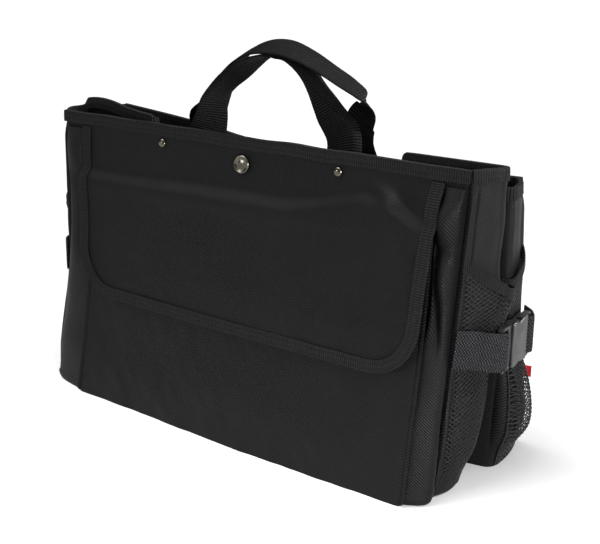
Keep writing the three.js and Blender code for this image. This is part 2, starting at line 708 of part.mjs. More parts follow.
function sideStrap(rows, side, bar, way) {
  const start = (way > 0 ? frontSeamAt(side, rows[0].z) : seamAt("rearHalf", rows[0].z)) + STRAP_START;
  const route = rows.map(({ share, y, z }) => ({ x: lerp(start, BUCKLE.x, share), y, z }));
  for (let k = 0; k <= LOOP_STEPS; k += 1) {
    const angle = Math.PI * (k / LOOP_STEPS);
    const y = bar + way * LOOP_RADIUS * Math.sin(angle);
    route.push({ x: BUCKLE.x + LOOP_RADIUS * Math.cos(angle), y, z: BUCKLE.z });
  }
  route.push({ x: BUCKLE.x - LOOP_RADIUS, y: bar - way * LOOP_TAIL, z: BUCKLE.z });
  return webbing(route.map(({ x, y, z }) => ({ x: side * x, y, z })), 20, () => UP.clone());
}

// Base panel: folded up along its middle, and cut clear of the folded ends
const wasm = await Module();
wasm.setup();

function manifoldOf(geometry) {
  const bare = geometry.clone();
  bare.deleteAttribute("normal");
  bare.deleteAttribute("uv");
  const merged = mergeVertices(bare, 1e-4);
  const mesh = new wasm.Mesh({
    numProp: 3,
    vertProperties: new Float32Array(merged.attributes.position.array),
    triVerts: new Uint32Array(merged.index.array),
  });
  return new wasm.Manifold(mesh);
}

function geometryOf(manifold) {
  const mesh = manifold.getMesh();
  return solidOf(Array.from(mesh.vertProperties), Array.from(mesh.triVerts));
}

const BASE_RISE = 105; // height of the base panel's middle fold
const BASE_CLEAR = 3; // between the base panel and the walls
const BASE_INSET = 6; // between the base panel's ends and the side seams

function basePanel() {
  const frontFoot = frontWallY(0) + CLOTH + BASE_CLEAR;
  const rearFoot = rearWallY(0) - CLOTH - BASE_CLEAR;
  const steps = 12;
  const place = (v, u) => {
    const peak = 1 - Math.abs(2 * v - 1);
    const z = CLOTH / 2 + BASE_RISE * Math.sin((Math.PI / 2) * peak);
    const reach = (side) => lerp(frontSeamAt(side, 0), seamAt("rearHalf", 0), v) - BASE_INSET;
    return new THREE.Vector3(lerp(-reach(-1), reach(1), u), lerp(frontFoot, rearFoot, v), z);
  };
  let base = manifoldOf(sheet(gridOf(steps, 2, place), CLOTH));
  const levels = [-2, 60, BASE_RISE + 12];
  for (const side of [1, -1]) base = base.subtract(foldRoom(levels, side));
  return geometryOf(base);
}

// The room that a folded end takes up, with clearance
function foldRoom(levels, side) {
  const spread = CLOTH / 2 + BASE_CLEAR;
  const sections = levels.map((z) => {
    const at = (column) => readRow(FOLD_ROWS, column, Math.max(z, 0));
    const inner = at("foldX") - spread;
    const outer = at("left") + spread;
    return [
      [inner, at("foldY") - FOLD_RADIUS - spread, z],
      [outer, at("cornerY") - 2 * spread, z],
      [outer, at("rearCornerY") + 2 * spread, z],
      [inner, at("foldY") + FOLD_RADIUS + spread, z],
    ];
  });
  const positions = sections.flat().flatMap(([x, y, z]) => [side * x, y, z]);
  const index = [0, 1, 2, 0, 2, 3];
  const last = 4 * (levels.length - 1);
  index.push(last, last + 2, last + 1, last, last + 3, last + 2);
  for (let i = 0; i < levels.length - 1; i += 1) {
    for (let k = 0; k < 4; k += 1) {
      const a = 4 * i + k;
      const b = 4 * i + ((k + 1) % 4);
      index.push(a, b + 4, b, a, a + 4, b + 4);
    }
  }
  return manifoldOf(solidOf(positions, index));
}

// Metal fittings on the flap
const RIVET = { radius: 4.6, rise: 2.6, below: 18, x: 110 };
const SNAP = { radius: 9.5, rise: 3.2, rim: 1.6, below: 26, x: -3 };

const DOME_RIM = 0.6; // height of a rivet's straight rim

function domeProfile(radius, rise) {
  const steps = 4;
  const points = [new THREE.Vector2(0, 0)];
  points.push(new THREE.Vector2(radius, 0));
  for (let k = 1; k <= steps; k += 1) {
    const angle = (Math.PI / 2) * (k / steps);
    const out = k === steps ? 0 : radius * Math.cos(angle);
    points.push(new THREE.Vector2(out, DOME_RIM + (rise - DOME_RIM) * Math.sin(angle)));
  }
  return points;
}

function snapProfile() {
  const { radius, rise, rim } = SNAP;
  return [
    [0, 0],
    [radius - 0.6, 0],
    [radius, 0.8],
    [radius - 0.4, rise - 0.6],
    [radius - rim * 0.6, rise],
    [radius - rim, rise - 0.5],
    [radius - rim - 0.5, rise - 0.9],
    [radius * 0.45, rise - 0.3],
    [0, rise - 0.1],
  ].map(([x, y]) => new THREE.Vector2(x, y));
}

function fitting(profile, x, below, sides) {
  const z = FRONT_TOP - below;
  const place = flapAt(FLAP_MIDDLE + x, z);
  const step = 3;
  const upward = flapAt(place.x, z + step).sub(flapAt(place.x, z - step)).normalize();
  const outward = new THREE.Vector3(1, 0, 0).cross(upward).negate().normalize();
  const facing = outward.y < 0 ? outward : outward.negate();
  const geometry = new THREE.LatheGeometry(profile, sides);
  geometry.applyQuaternion(new THREE.Quaternion().setFromUnitVectors(new THREE.Vector3(0, 1, 0), facing));
  const seat = place.addScaledVector(facing, SOFT_CLOTH / 2 + LOOSE + GAP);
  geometry.translate(seat.x, seat.y, seat.z);
  geometry.deleteAttribute("normal");
  geometry.deleteAttribute("uv");
  return mergeVertices(geometry, 1e-3);
}

// Side-release buckle, drawn flat: a is along the strap from the front to the rear, b is up
const BUCKLE_EDGE = 1; // bevel of the buckle's outer edges
const SOCKET_FROM = 84; // where the socket starts along Y
const SOCKET_TO = 115; // where its hollow body ends and its strap frame starts
const FRAME_THICK = 5.8; // thickness of the strap frames
const WALL = 2.2; // thickness of the buckle's walls

function slab(shape, thick, bevel) {
  const geometry = new THREE.ExtrudeGeometry(shape, {
    depth: thick - 2 * bevel,
    bevelEnabled: bevel > 0,
    bevelThickness: bevel,
    bevelSize: bevel,
    bevelOffset: -bevel,
    bevelSegments: 1,
    curveSegments: 4,
  });
  geometry.translate(0, 0, bevel - thick / 2);
  return geometry;
}

function outlineOf(points) {
  return new THREE.Shape(points.map(([a, b]) => new THREE.Vector2(a, b)));
}

function boxShape(a0, a1, b0, b1) {
  return outlineOf([[a0, b0], [a1, b0], [a1, b1], [a0, b1]]);
}

// A mirrored outline from its upper half, given from the front end to the rear end
function mirroredShape(upper) {
  return outlineOf([...upper, ...upper.slice().reverse().map(([a, b]) => [a, -b])]);
}

function placeBuckle(geometry, side) {
  const turn = new THREE.Matrix4().makeBasis(
    new THREE.Vector3(0, 1, 0),
    new THREE.Vector3(0, 0, 1),
    new THREE.Vector3(1, 0, 0),
  );
  geometry.applyMatrix4(turn);
  geometry.translate(side * BUCKLE.x, 0, BUCKLE.z);
  return geometry;
}

function tongueOutline() {
  const half = BUCKLE.width / 2;
  const root = SOCKET_FROM - 1;
  const tip = SOCKET_FROM + 24;
  return mirroredShape([
    [BUCKLE.from, half - 3],
    [BUCKLE.from + 3, half],
    [root, half - 1],
    [root, half - 6],
    [SOCKET_FROM + 9, half - 6],
    [SOCKET_FROM + 10, half - 0.4],
    [tip - 3, half - 3],
    [tip, half - 9],
    [tip, half - 12],
    [root + 5, half - 11],
    [root + 5, 3],
    [tip - 4, 2.5],
  ]);
}

// A slot for the strap, with the bar beyond it
function strapSlot(from) {
  const half = SLOT.width / 2;
  return manifoldOf(slab(boxShape(from, from + SLOT.height, -half, half), 2 * BUCKLE.thick, 0));
}

function buckleTongue(side) {
  const tongue = manifoldOf(slab(tongueOutline(), FRAME_THICK, 0));
  return placeBuckle(geometryOf(tongue.subtract(strapSlot(BUCKLE.from + SLOT_BAR))), side);
}

function buckleSocket(side) {
  const half = BUCKLE.width / 2;
  const body = mirroredShape([
    [SOCKET_FROM, half - 1],
    [SOCKET_FROM + 4, half],
    [SOCKET_FROM + 9, half - 0.5],
    [SOCKET_FROM + 14, half - 2.5],
    [SOCKET_FROM + 22, half - 1],
    [SOCKET_TO, half],
  ]);
  const frame = mirroredShape([
    [SOCKET_TO - 2, half - 1],
    [BUCKLE.to - 3, half],
    [BUCKLE.to, half - 3],
  ]);
  const inside = boxShape(SOCKET_FROM - 1, SOCKET_TO - 3, 4 - half, half - 4);
  const window = boxShape(SOCKET_FROM + 9, SOCKET_FROM + 22, -half - 2, half + 2);
  const hollow = BUCKLE.thick - 2 * WALL;
  const socket = manifoldOf(slab(body, BUCKLE.thick, BUCKLE_EDGE))
    .add(manifoldOf(slab(frame, FRAME_THICK, 0)))
    .subtract(manifoldOf(slab(inside, hollow, 0)))
    .subtract(manifoldOf(slab(window, hollow, 0)))
    .subtract(strapSlot(BUCKLE.to - SLOT_BAR - SLOT.height));
  return placeBuckle(geometryOf(socket), side);
}

// Red cloth tab in the rear right seam
const TAB = { z: 78, height: 12, reach: 13, thick: 1.2, start: 3, turn: 22 };

function seamTab() {
  const seamX = seamAt("rearHalf", TAB.z);
  const seam = new THREE.Vector3(seamX + TAB.start, rearWallY(TAB.z) + CLOTH / 2, TAB.z);
  const way = new THREE.Vector3(Math.cos(radians(TAB.turn)), Math.sin(radians(TAB.turn)), 0);
  const place = (v, u) => {
    return seam.clone().addScaledVector(way, TAB.reach * u).addScaledVector(UP, TAB.height * v);
  };
  return sheet(gridOf(1, 2, place), TAB.thick);
}

// Assembly
const organizer = new THREE.Group();

function add(name, geometry, color, roughness = 0.85, metalness = 0) {
  const material = new THREE.MeshStandardMaterial({ color, roughness, metalness });
  const mesh = new THREE.Mesh(geometry, material);
  mesh.name = name;
  organizer.add(mesh);
}

add("front_wall", frontWall(), COLOURS.cloth);
add("rear_wall", rearWall(), COLOURS.cloth);
add("base_panel", basePanel(), COLOURS.cloth);
add("front_pocket_face", pocketFace(), COLOURS.cloth);
add("front_pocket_gusset", pocketGusset(), COLOURS.cloth);
add("flap", flap(), COLOURS.cloth);
add("flap_binding", flapBinding(), COLOURS.tape);
add("front_binding", frontBinding(), COLOURS.tape);
add("rear_binding", rearBinding(), COLOURS.tape);
add("front_handle", handle(FRONT_HANDLE_ROWS), COLOURS.webbing);
add("rear_handle", handle(REAR_HANDLE_ROWS), COLOURS.webbing);
const rivetProfile = domeProfile(RIVET.radius, RIVET.rise);
add("rivet_left", fitting(rivetProfile, -RIVET.x, RIVET.below, 12), STEEL, 0.2, 1);
add("rivet_right", fitting(rivetProfile, RIVET.x, RIVET.below, 12), STEEL, 0.2, 1);
add("snap_cap", fitting(snapProfile(), SNAP.x, SNAP.below, 16), STEEL, 0.15, 1);
for (const [word, side] of [["left", -1], ["right", 1]]) {
  add(`side_panel_${word}`, endPanel(side), COLOURS.cloth);
  add(`side_binding_${word}`, sideBinding(side), COLOURS.tape);
  const frontBar = BUCKLE.from + SLOT_BAR / 2;
  const rearBar = BUCKLE.to - SLOT_BAR / 2;
  add(`strap_front_${word}`, sideStrap(FRONT_STRAP_ROWS, side, frontBar, 1), COLOURS.webbing);
  add(`strap_rear_${word}`, sideStrap(REAR_STRAP_ROWS, side, rearBar, -1), COLOURS.webbing);
  add(`buckle_tongue_${word}`, buckleTongue(side), COLOURS.plastic, 0.5);
  add(`buckle_socket_${word}`, buckleSocket(side), COLOURS.plastic, 0.5);
}
for (const row of NETS) {
  add(`net_${row.end}_${row.word}`, net(row), COLOURS.net);
  add(`net_hem_${row.end}_${row.word}`, netHem(row), COLOURS.tape);
}
add("seam_tab", seamTab(), RED);

// The origin is under the middle of the whole object
const middle = new THREE.Box3().setFromObject(organizer).getCenter(new THREE.Vector3());
organizer.position.set(-middle.x, -middle.y, 0);

export default organizer;
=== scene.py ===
# Folded trunk organizer: cloth, tape, webbing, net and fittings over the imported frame.
# Sizes in the tables are millimetres in the drawing frame of the part; pieces are placed in metres.
import math

import bpy
import numpy as np
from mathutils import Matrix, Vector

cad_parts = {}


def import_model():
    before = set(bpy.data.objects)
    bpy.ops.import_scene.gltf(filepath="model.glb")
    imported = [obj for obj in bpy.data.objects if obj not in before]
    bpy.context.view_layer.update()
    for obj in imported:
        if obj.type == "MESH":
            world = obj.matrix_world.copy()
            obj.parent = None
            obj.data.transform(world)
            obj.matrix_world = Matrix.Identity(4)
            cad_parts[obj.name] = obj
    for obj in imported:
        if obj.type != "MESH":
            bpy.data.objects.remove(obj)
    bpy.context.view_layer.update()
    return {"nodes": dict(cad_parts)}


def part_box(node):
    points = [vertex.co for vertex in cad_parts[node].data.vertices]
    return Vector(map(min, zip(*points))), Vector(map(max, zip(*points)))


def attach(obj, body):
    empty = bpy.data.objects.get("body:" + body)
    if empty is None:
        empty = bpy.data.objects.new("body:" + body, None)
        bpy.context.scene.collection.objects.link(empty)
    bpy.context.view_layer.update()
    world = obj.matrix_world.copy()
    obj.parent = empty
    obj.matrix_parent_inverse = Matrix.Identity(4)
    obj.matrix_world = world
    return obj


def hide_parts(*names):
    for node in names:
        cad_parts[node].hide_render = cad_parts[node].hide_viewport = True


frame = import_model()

TURN = 2 * math.pi
MM = 0.001


# Tables, read smoothly
def table(columns, *rows):
    """Rows of numbers under named columns."""
    return dict(zip(columns.split(), np.array(rows, float).T))


def read(rows, column, place, key="z"):
    """A column of a table, read smoothly at any place along its key column."""
    keys, values = rows[key], rows[column]
    last = len(keys) - 1
    low = np.maximum(np.arange(last + 1) - 1, 0)
    high = np.minimum(np.arange(last + 1) + 1, last)
    slopes = (values[high] - values[low]) / (keys[high] - keys[low])
    k = np.clip(np.searchsorted(keys, place) - 1, 0, last - 1)
    span = keys[k + 1] - keys[k]
    t = np.clip((place - keys[k]) / span, 0, 1)
    start = t * (1 - t) ** 2 * span * slopes[k]
    end = t * t * (t - 1) * span * slopes[k + 1]
    return values[k] + (values[k + 1] - values[k]) * smooth(t) + start + end


def smooth(share):
    t = np.clip(share, 0, 1)
    return t * t * (3 - 2 * t)


def lerp(a, b, share):
    return a + (b - a) * share


# Driving dimensions
FRONT_TOP = 320
CLOTH = 2
SOFT_CLOTH = 1.6
NET = 1.2
GAP = 0.4
LOOSE = 0.9
POCKET_MOUTH = 255
POCKET_CORNER = 9
GUSSET_PUFF = 14
FLAP_HALF = 217
FLAP_MIDDLE = 5
FLAP_FOOT = 127
FLAP_CORNER = 50
FLAP_LIFT = 6.5
TAPE_LEG = 11
TAPE = 1
FLAP_FREE = FRONT_TOP - TAPE_LEG - 4
WEBBING_WIDTH = 38
WEBBING = 2.2
FOLD_RADIUS = 4
CORNER_ROUND = 12
SIDE_BOW = 3
SEAM_START = 2.4

SEAM_ROWS = table(
    "z left right front rear_half rear",
    (0, 271, 232, 16, 246, 176),
    (150, 249, 241, 24, 249, 154),
    (240, 249, 246, 29, 251, 142),
    (320, 250, 250, 34, 252, 130),
)
FOLD_ROWS = table(
    "z left right corner_y fold_x fold_y rear_corner rear_corner_y",
    (0, 278, 240, 62, 150, 84, 256, 104),
    (150, 261, 263, 80, 155, 88, 264, 99),
    (240, 267, 267, 79, 158, 83, 267, 93),
    (320, 270, 270, 77, 158, 78, 268, 91),
)
REAR_TOP_ROWS = table("x top", (-252, 312), (-150, 303), (-50, 290), (100, 290), (252, 294))
POCKET_ROWS = table(
    "z middle half depth",
    (0, -1, 223, 30),
    (60, 5, 219, 29),
    (150, 9, 216, 20),
    (225, 9, 214, 11),
    (255, 9, 213, 8),
    (320, 9, 212, 0),
)
LEAST_DEPTH = 6
LEFT_DEPTH = {"share": 0.68, "from": -225, "span": 280}
NET_ROWS = table(
    "z bulge", (0, 0), (16, 3), (46, 12), (90, 9), (124, 1), (166, 1), (200, 7), (245, 3)
)
RIDGE_COLUMNS = "x z turn length width height"
FLAP_FOLDS = table(
    RIDGE_COLUMNS,
    (172, 285, -40, 40, 7.5, 5.5),
    (196, 238, -72, 60, 10, -1.8),
    (66, 297, -30, 17, 6, 2.2),
    (0, 253, 2, 150, 8, 2.2),
    (-150, 180, 12, 90, 26, -1.2),
    (60, 165, -4, 140, 20, 1.2),
)
FLAP_STEP_ROWS = table(
    "x z", (-230, 257), (-150, 257), (-65, 261), (1, 263), (64, 265), (122, 277), (155, 283), (230, 264)
)
FLAP_STEP = {"half": 6.5, "share": 0.85}
FLAP_SPREAD = {"left": 9, "right": 3, "from": 165, "span": 130}
FLAP_RIGHT = {"lift": 8, "from": 178, "span": 40, "fade": 24, "pressed": 0.6, "past": 3}
DENT_FADE = 40
POCKET_DENTS = table(
    RIDGE_COLUMNS,
    (-120, 70, 10, 110, 40, -2.2),
    (90, 45, -6, 130, 30, 1.6),
    (185, 90, 75, 70, 18, 1.8),
)
HANDLE_COLUMNS = "x y z turn tilt fold crease"
FRONT_HANDLE_ROWS = table(
    HANDLE_COLUMNS,
    (-68, 32.5, 228, 0, 0, 0, 0),
    (-68, 34, 252, 0, 0, 0, 0),
    (-68, 43, 280, 16, 0, 2, 0),
    (-68, 57, 307, 40, 0, 4, 0),
    (-68, 65, 327, 66, 0, 6, 0),
    (-66, 69, 348, 86, -8, 6, 0),
    (-56, 73, 362, 93, -18, 4, 0),
    (-40, 77, 376, 92, -20, 4, 0),
    (-17, 82, 392, 90, -4, 4, 0),
    (10, 86, 400, 90, 14, 0, -1),
    (24, 86, 396.5, 80, 14, 10, -1),
    (38, 84, 386, 55, 10, 35, -1),
    (55, 80, 372, 30, 4, 55, -0.9),
    (71, 76, 358, 18, 0, 60, -0.5),
    (86, 71, 343, 8, 0, 62, 0.0),
    (97, 66, 327, 0, 0, 62, 0.4),
    (102, 57, 307, 0, 0, 50, 0.55),
    (102, 44, 280, 0, 0, 20, 0.6),
    (102, 34, 252, 0, 0, 0, 0.6),
    (102, 32.5, 228, 0, 0, 0, 0.6),
)
REAR_HANDLE_ROWS = table(
    HANDLE_COLUMNS,
    (-107, 140, 228, 0, 0, 0, 0),
    (-107, 136, 252, 0, 0, 0, 0),
    (-107, 123, 279, 0, 0, 0, 0),
    (-106, 104, 302, 2, 0, 2, 0),
    (-99, 95, 319, 28, 0, 4, 0),
    (-84, 91, 340, 74, 0, 6, 0),
    (-64, 87, 367, 88, 8, 4, 0),
    (-42, 85, 390, 90, 16, 4, 0),
    (-18, 84, 402, 90, 17, 4, 0),
    (10, 84, 404.5, 90, 16, 4, 0),
    (38, 84, 398, 90, 9, 4, 0),
    (64, 85, 387, 90, 2, 4, 0),
    (87, 87, 375, 92, 0, 4, 0),
    (103, 89, 364, 107, 0, 4, 0),
    (107, 91, 351, 146, 0, 4, 0),
    (100, 93, 338, 167, 0, 4, 0),
    (93, 97, 318, 178, 0, 4, 0),
    (91, 111, 296, 180, 0, 2, 0),
    (91, 126, 275, 180, 0, 0, 0),
    (91, 136, 252, 180, 0, 0, 0),
    (91, 140, 228, 180, 0, 0, 0),
)
FOLD_BEND = 4  # length across a webbing over which its lengthwise fold turns
FRONT_STRAP_ROWS = ((0, 23, 155), (0.5, 36, 153), (1, 50, 149))
REAR_STRAP_ROWS = ((0, 163, 138), (0.52, 152, 140), (1, 138, 143))
STRAP_START = 6
BUCKLE = {"x": 273, "z": 145, "from": 65, "to": 127}
SLOT_BAR = 5
LOOP_RADIUS = 5.9
LOOP_TAIL = 9
NETS = (
    {"end": "front", "word": "left", "side": -1, "seam": 226, "inner": 190, "slack": 1, "mouth": 1.2,
     "stand": 4, "reach": 1},
    {"end": "rear", "word": "left", "side": -1, "seam": 228, "inner": 206, "slack": 1.2, "mouth": 1,
     "stand": 0, "reach": 0.58},
    {"end": "front", "word": "right", "side": 1, "seam": 240, "inner": 203, "slack": 0.9, "mouth": 0.5,
     "stand": 9, "reach": 1},
    {"end": "rear", "word": "right", "side": 1, "seam": 228, "inner": 206, "slack": 1.75, "mouth": 0.3,
     "stand": 0, "reach": 0.58},
)
RIVET = {"radius": 4.6, "rise": 2.6, "below": 18, "x": 110}
SNAP = {"radius": 9.5, "rise": 3.2, "below": 26, "x": -3}
TAB = {"z": 78, "height": 12, "reach": 13, "thick": 1.2, "start": 3, "turn": 22, "bow": 0.8, "wave": 0.3}
STITCH = {"length": 2.5, "pitch": 3.6, "radius": 0.34, "sides": 5, "sunk": 0.1, "lift": 0.2}
WALL_INSET = {"width": 9, "below": 306, "fade": 10}  # clear of the seam under the strip
REAR_OVERLAP = 1.4  # how far the rear wall covers the end panels' edges
FINE = 5
SIDE_STEPS = {"face": 5 * FINE, "corner": 4 * FINE, "layer": 3 * FINE, "fold": 5 * FINE}
NET_STEPS = SIDE_STEPS["face"] + SIDE_STEPS["corner"] + FINE
END_HEIGHTS = np.linspace(0, FRONT_TOP, 161)
CORNER_SAG = {"from": 0.05, "span": 0.2, "depth": 2.5}
FOLD_DROP = {"from": 0.4, "span": 0.2}
LEFT_PEAK = {"height": 11, "at": 0.33, "spread": 0.05}
PANEL_FILL = 0.78  # share of a net's slack that the cloth behind it takes up
PANEL_SEAM = {"inset": 10, "width": 2.0, "groove": 0.9, "rise": 2.4, "forward": 3.4}
BASE_RISE = 105
BASE_CLEAR = 3
BASE_NOTCH = 6  # half the length over which the base gives way to a fold
BASE_EDGE = CLOTH + 0.6  # from the base panel's ends to the middle of the end panels' cloth
SEAM_ROLL = {"inset": 5.0, "width": 1.6, "groove": 0.8, "rise": 0.9, "inner": 2, "outer": 1.5}
GUSSET_TOP = 304
STRIP_CLEAR = 3  # room between the strip beside the flap and the flap's tape
STRIP_LEAVES = {-1: 225, 1: 275}  # height where the strip leaves the pocket's edge for the flap's
STRIP_ROWS = table(
    "z puff",
    (0, 0), (90, 7), (150, 12), (205, 13), (238, 9), (249, 5), (260, 9), (284, 12), (300, 3), (304, 0.4),
)
LEFT_PUFF = 0.3
VALLEY = {"from": 140, "span": 70, "at": 0.66, "closed": 0.96, "edge": 0.8, "power": 0.75}
SUNK = {"share": 0.25, "from": 150, "span": 45}  # beside the flap the strip's inner edge stays near the wall
STRIP_WRAP = {"share": 0.16, "back": 5.2, "aside": 0.4}  # the strip's outer edge, turned into the seam
GUSSET_CLOSE = 16  # length over which the pocket's depth closes at its upper end
GUSSET_SOFT = {"height": 3.4, "foot": 60, "power": 0.7}  # how far its cloth puffs out lower down
BINDING_END = -0.8  # the top tapes reach past the side seams
NET_CLEAR = CLOTH / 2 + NET / 2 + 1.2
NET_FOOT = 2
STRAND = {"radius": 0.5, "pitch": 3.5, "step": 1.8, "sides": 4, "slope": 0.85, "stray": 0.6}
STRAND_EDGE = {"start": 0.4, "firm": 1.5, "rung": 1.1, "foot": 0.6}
STRAND_CROSS = 0.25  # how far the two families of strands lie apart
STRAND_WANDER = {"pitches": 1.9, "length": 24, "seed": 61}
HEM_FALL = {"share": 0.68, "power": 1.2}
STAND_OFF = {"from": 140, "span": 50, "corner": 0.62, "back": 0.3}
RIB = {"pitch": 2.5, "height": 0.5}
NET_MOUTH = {"from": 120, "span": 50, "round": 1.3, "power": 0.8}
FILL_FADE = 45  # length below a hem over which the cloth behind a net fills out
LADDER = {"edge": 0.6, "inner": 5.2, "pitch": 5.0, "foot": 3, "head": 6}
WAY_BLUR = 13  # stations over which a webbing's direction is evened out
BUCKLE_EDGE = {"width": 0.7, "segments": 3}
STITCH_INSETS = {"flap": (2.2, 8.8), "front": (1.6, 8.6), "back": 8.6, "hem": (2.0, 9.0)}
SHARP_ANGLE = 48
GRID = {  # rows and columns of points in each sheet
    "front_wall": (90, 140), "rear_wall": (80, 110), "base": (61, 101), "pocket": (110, 190),
    "flap": (110, 200), "tab": (14, 16), "hem": (8, 90),
}
END_ROWS = 80
GUSSET_COLUMNS = 45
GUSSET_STEPS = {"side": 110, "corner": 10, "foot": 90}
REAR_EASE = {"side": 0.08, "foot": 0.06, "top": 0.12}  # shares over which the wall's edges stay flat
END_EASE = {"face": 0.4, "foot": 25, "top": 30, "seam_foot": 20, "share": 0.5}
POCKET_SPACING = {"edge": 0.35, "dense": 2.2, "up": 1.15}  # points lie closer near the edges
PUCKER = {"height": 0.35, "reach": 9, "length": 17, "sway": 2, "drift": 31, "edge": 4}
FLAP_SPACING = {"edge": 0.3, "dense": 2.0}
FLAP_DENT = 1.5  # the deepest that the flap's folds sink
FLAP_HOLD = 20  # length below the tape over which the flap comes free
STRIP_LEAVING = 25  # length over which the strip changes edges
STRIP_WAVES = {"high": 0.2, "long": 19, "low": 0.1, "short": 8.3}
STRIP_THIN = {"seam": 0.4, "seam_share": 0.12, "inner": 0.3, "inner_share": 0.15}
WEBBING_EDGE = {"points": 17, "reach": 0.985, "thin": 0.25, "power": 8, "tip": 0.45, "ribbed": 0.49}
WEBBING_STEPS = 24
UNEVEN = {  # height, length and seed of each layer of soft unevenness
    "rear_wall": ((1.2, 130, 11), (0.3, 45, 12)),
    "end": ((0.9, 70, 21), (0.35, 28, 23)),
    "pocket": ((0.45, 60, 31), (0.2, 24, 32)),
    "flap": ((0.35, 55, 41), (0.15, 22, 42)),
    "front_binding": ((0.35, 60, 51),),
}

# The drawing frame's place in the model's frame, from two nodes whose places in the drawing are known
snap_low, snap_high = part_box("snap_cap")
rear_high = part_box("rear_wall")[1]
SHIFT = np.array([
    (snap_low[0] + snap_high[0]) / 2 / MM - FLAP_MIDDLE - SNAP["x"],
    rear_high[1] / MM - SEAM_ROWS["rear"][0] - CLOTH / 2,
    0.0,
])


def world(points):
    return (np.asarray(points, float) + SHIFT) * MM


# Camera, floor and light
CAMERA = {"place": (664.9, -815.4, 547.7), "yaw": 35.11, "pitch": 18.91, "lens": 66, "sensor": 36}
FLOOR = {"half": 80.0, "shade": 0.72, "rough": 0.9, "specular": 0.1}
SKY = {"low": 0.02, "high": 1.05}
SUN = {"strength": 2.8, "spread": 40, "way": (0.35, 0.3, -1)}
LIGHTS = (  # name, place, aim, size, power and spread
    ("right", (1.4, -0.9, 0.42), (0.1, -0.1, 0.04), 0.6, 5, 50),
    ("front", (-0.9, -1.6, 0.4), (0.2, -0.1, 0.0), 0.5, 0.4, 24),
    ("rim", (1.3, 0.9, 1.2), (0.08, 0.0, 0.35), 0.3, 1.5, 20),
)


def make_camera():
    data = bpy.data.cameras.new("camera")
    data.lens = CAMERA["lens"]
    data.sensor_fit = "HORIZONTAL"
    data.sensor_width = CAMERA["sensor"]
    camera = bpy.data.objects.new("camera", data)
    camera.location = world(CAMERA["place"])
    camera.rotation_euler = (math.radians(90 - CAMERA["pitch"]), 0, math.radians(CAMERA["yaw"]))
    bpy.context.scene.collection.objects.link(camera)
    bpy.context.scene.camera = camera


def make_stage():
    mesh = bpy.data.meshes.new("floor")
    h = FLOOR["half"]
    mesh.from_pydata([(-h, -h, 0), (h, -h, 0), (h, h, 0), (-h, h, 0)], [], [(0, 1, 2, 3)])
    floor = bpy.data.objects.new("floor", mesh)
    bpy.context.scene.collection.objects.link(floor)
    material = bpy.data.materials.new("floor")
    material.use_nodes = True
    shader = material.node_tree.nodes["Principled BSDF"]
    shader.inputs["Base Color"].default_value = (*[FLOOR["shade"]] * 3, 1)
    shader.inputs["Roughness"].default_value = FLOOR["rough"]
    shader.inputs["Specular IOR Level"].default_value = FLOOR["specular"]
    mesh.materials.append(material)
    sky = bpy.data.worlds.new("studio")
    sky.use_nodes = True
    background = sky.node_tree.nodes["Background"]
    background.inputs["Color"].default_value = (1, 1, 1, 1)
    direction = sky.node_tree.nodes.new("ShaderNodeTexCoord").outputs["Generated"]
    height = sky.node_tree.nodes.new("ShaderNodeSeparateXYZ")
    shade = sky.node_tree.nodes.new("ShaderNodeMapRange")
    shade.inputs["To Min"].default_value = SKY["low"]
    shade.inputs["To Max"].default_value = SKY["high"]
    sky.node_tree.links.new(direction, height.inputs["Vector"])
    sky.node_tree.links.new(height.outputs["Z"], shade.inputs["Value"])
    sky.node_tree.links.new(shade.outputs["Result"], background.inputs["Strength"])
    bpy.context.scene.world = sky
    bpy.context.scene.view_settings.view_transform = "Standard"
    data = bpy.data.lights.new("overhead", "SUN")
    data.energy = SUN["strength"]
    data.angle = math.radians(SUN["spread"])
    light = bpy.data.objects.new("overhead", data)
    light.rotation_euler = direction_turn(SUN["way"])
    bpy.context.scene.collection.objects.link(light)
    for name, place, aim, size, power, spread in LIGHTS:
        data = bpy.data.lights.new(name, "AREA")
        data.size = size
        data.energy = power
        data.spread = math.radians(spread)
        light = bpy.data.objects.new(name, data)
        light.location = place
        light.rotation_euler = direction_turn(np.subtract(aim, place))
        bpy.context.scene.collection.objects.link(light)


def direction_turn(way):
    """Turn of a light so that it shines along a direction."""
    level = math.hypot(way[0], way[1])
    return (math.atan2(level, -way[2]), 0, math.atan2(way[1], way[0]) - math.pi / 2)


make_camera()
make_stage()


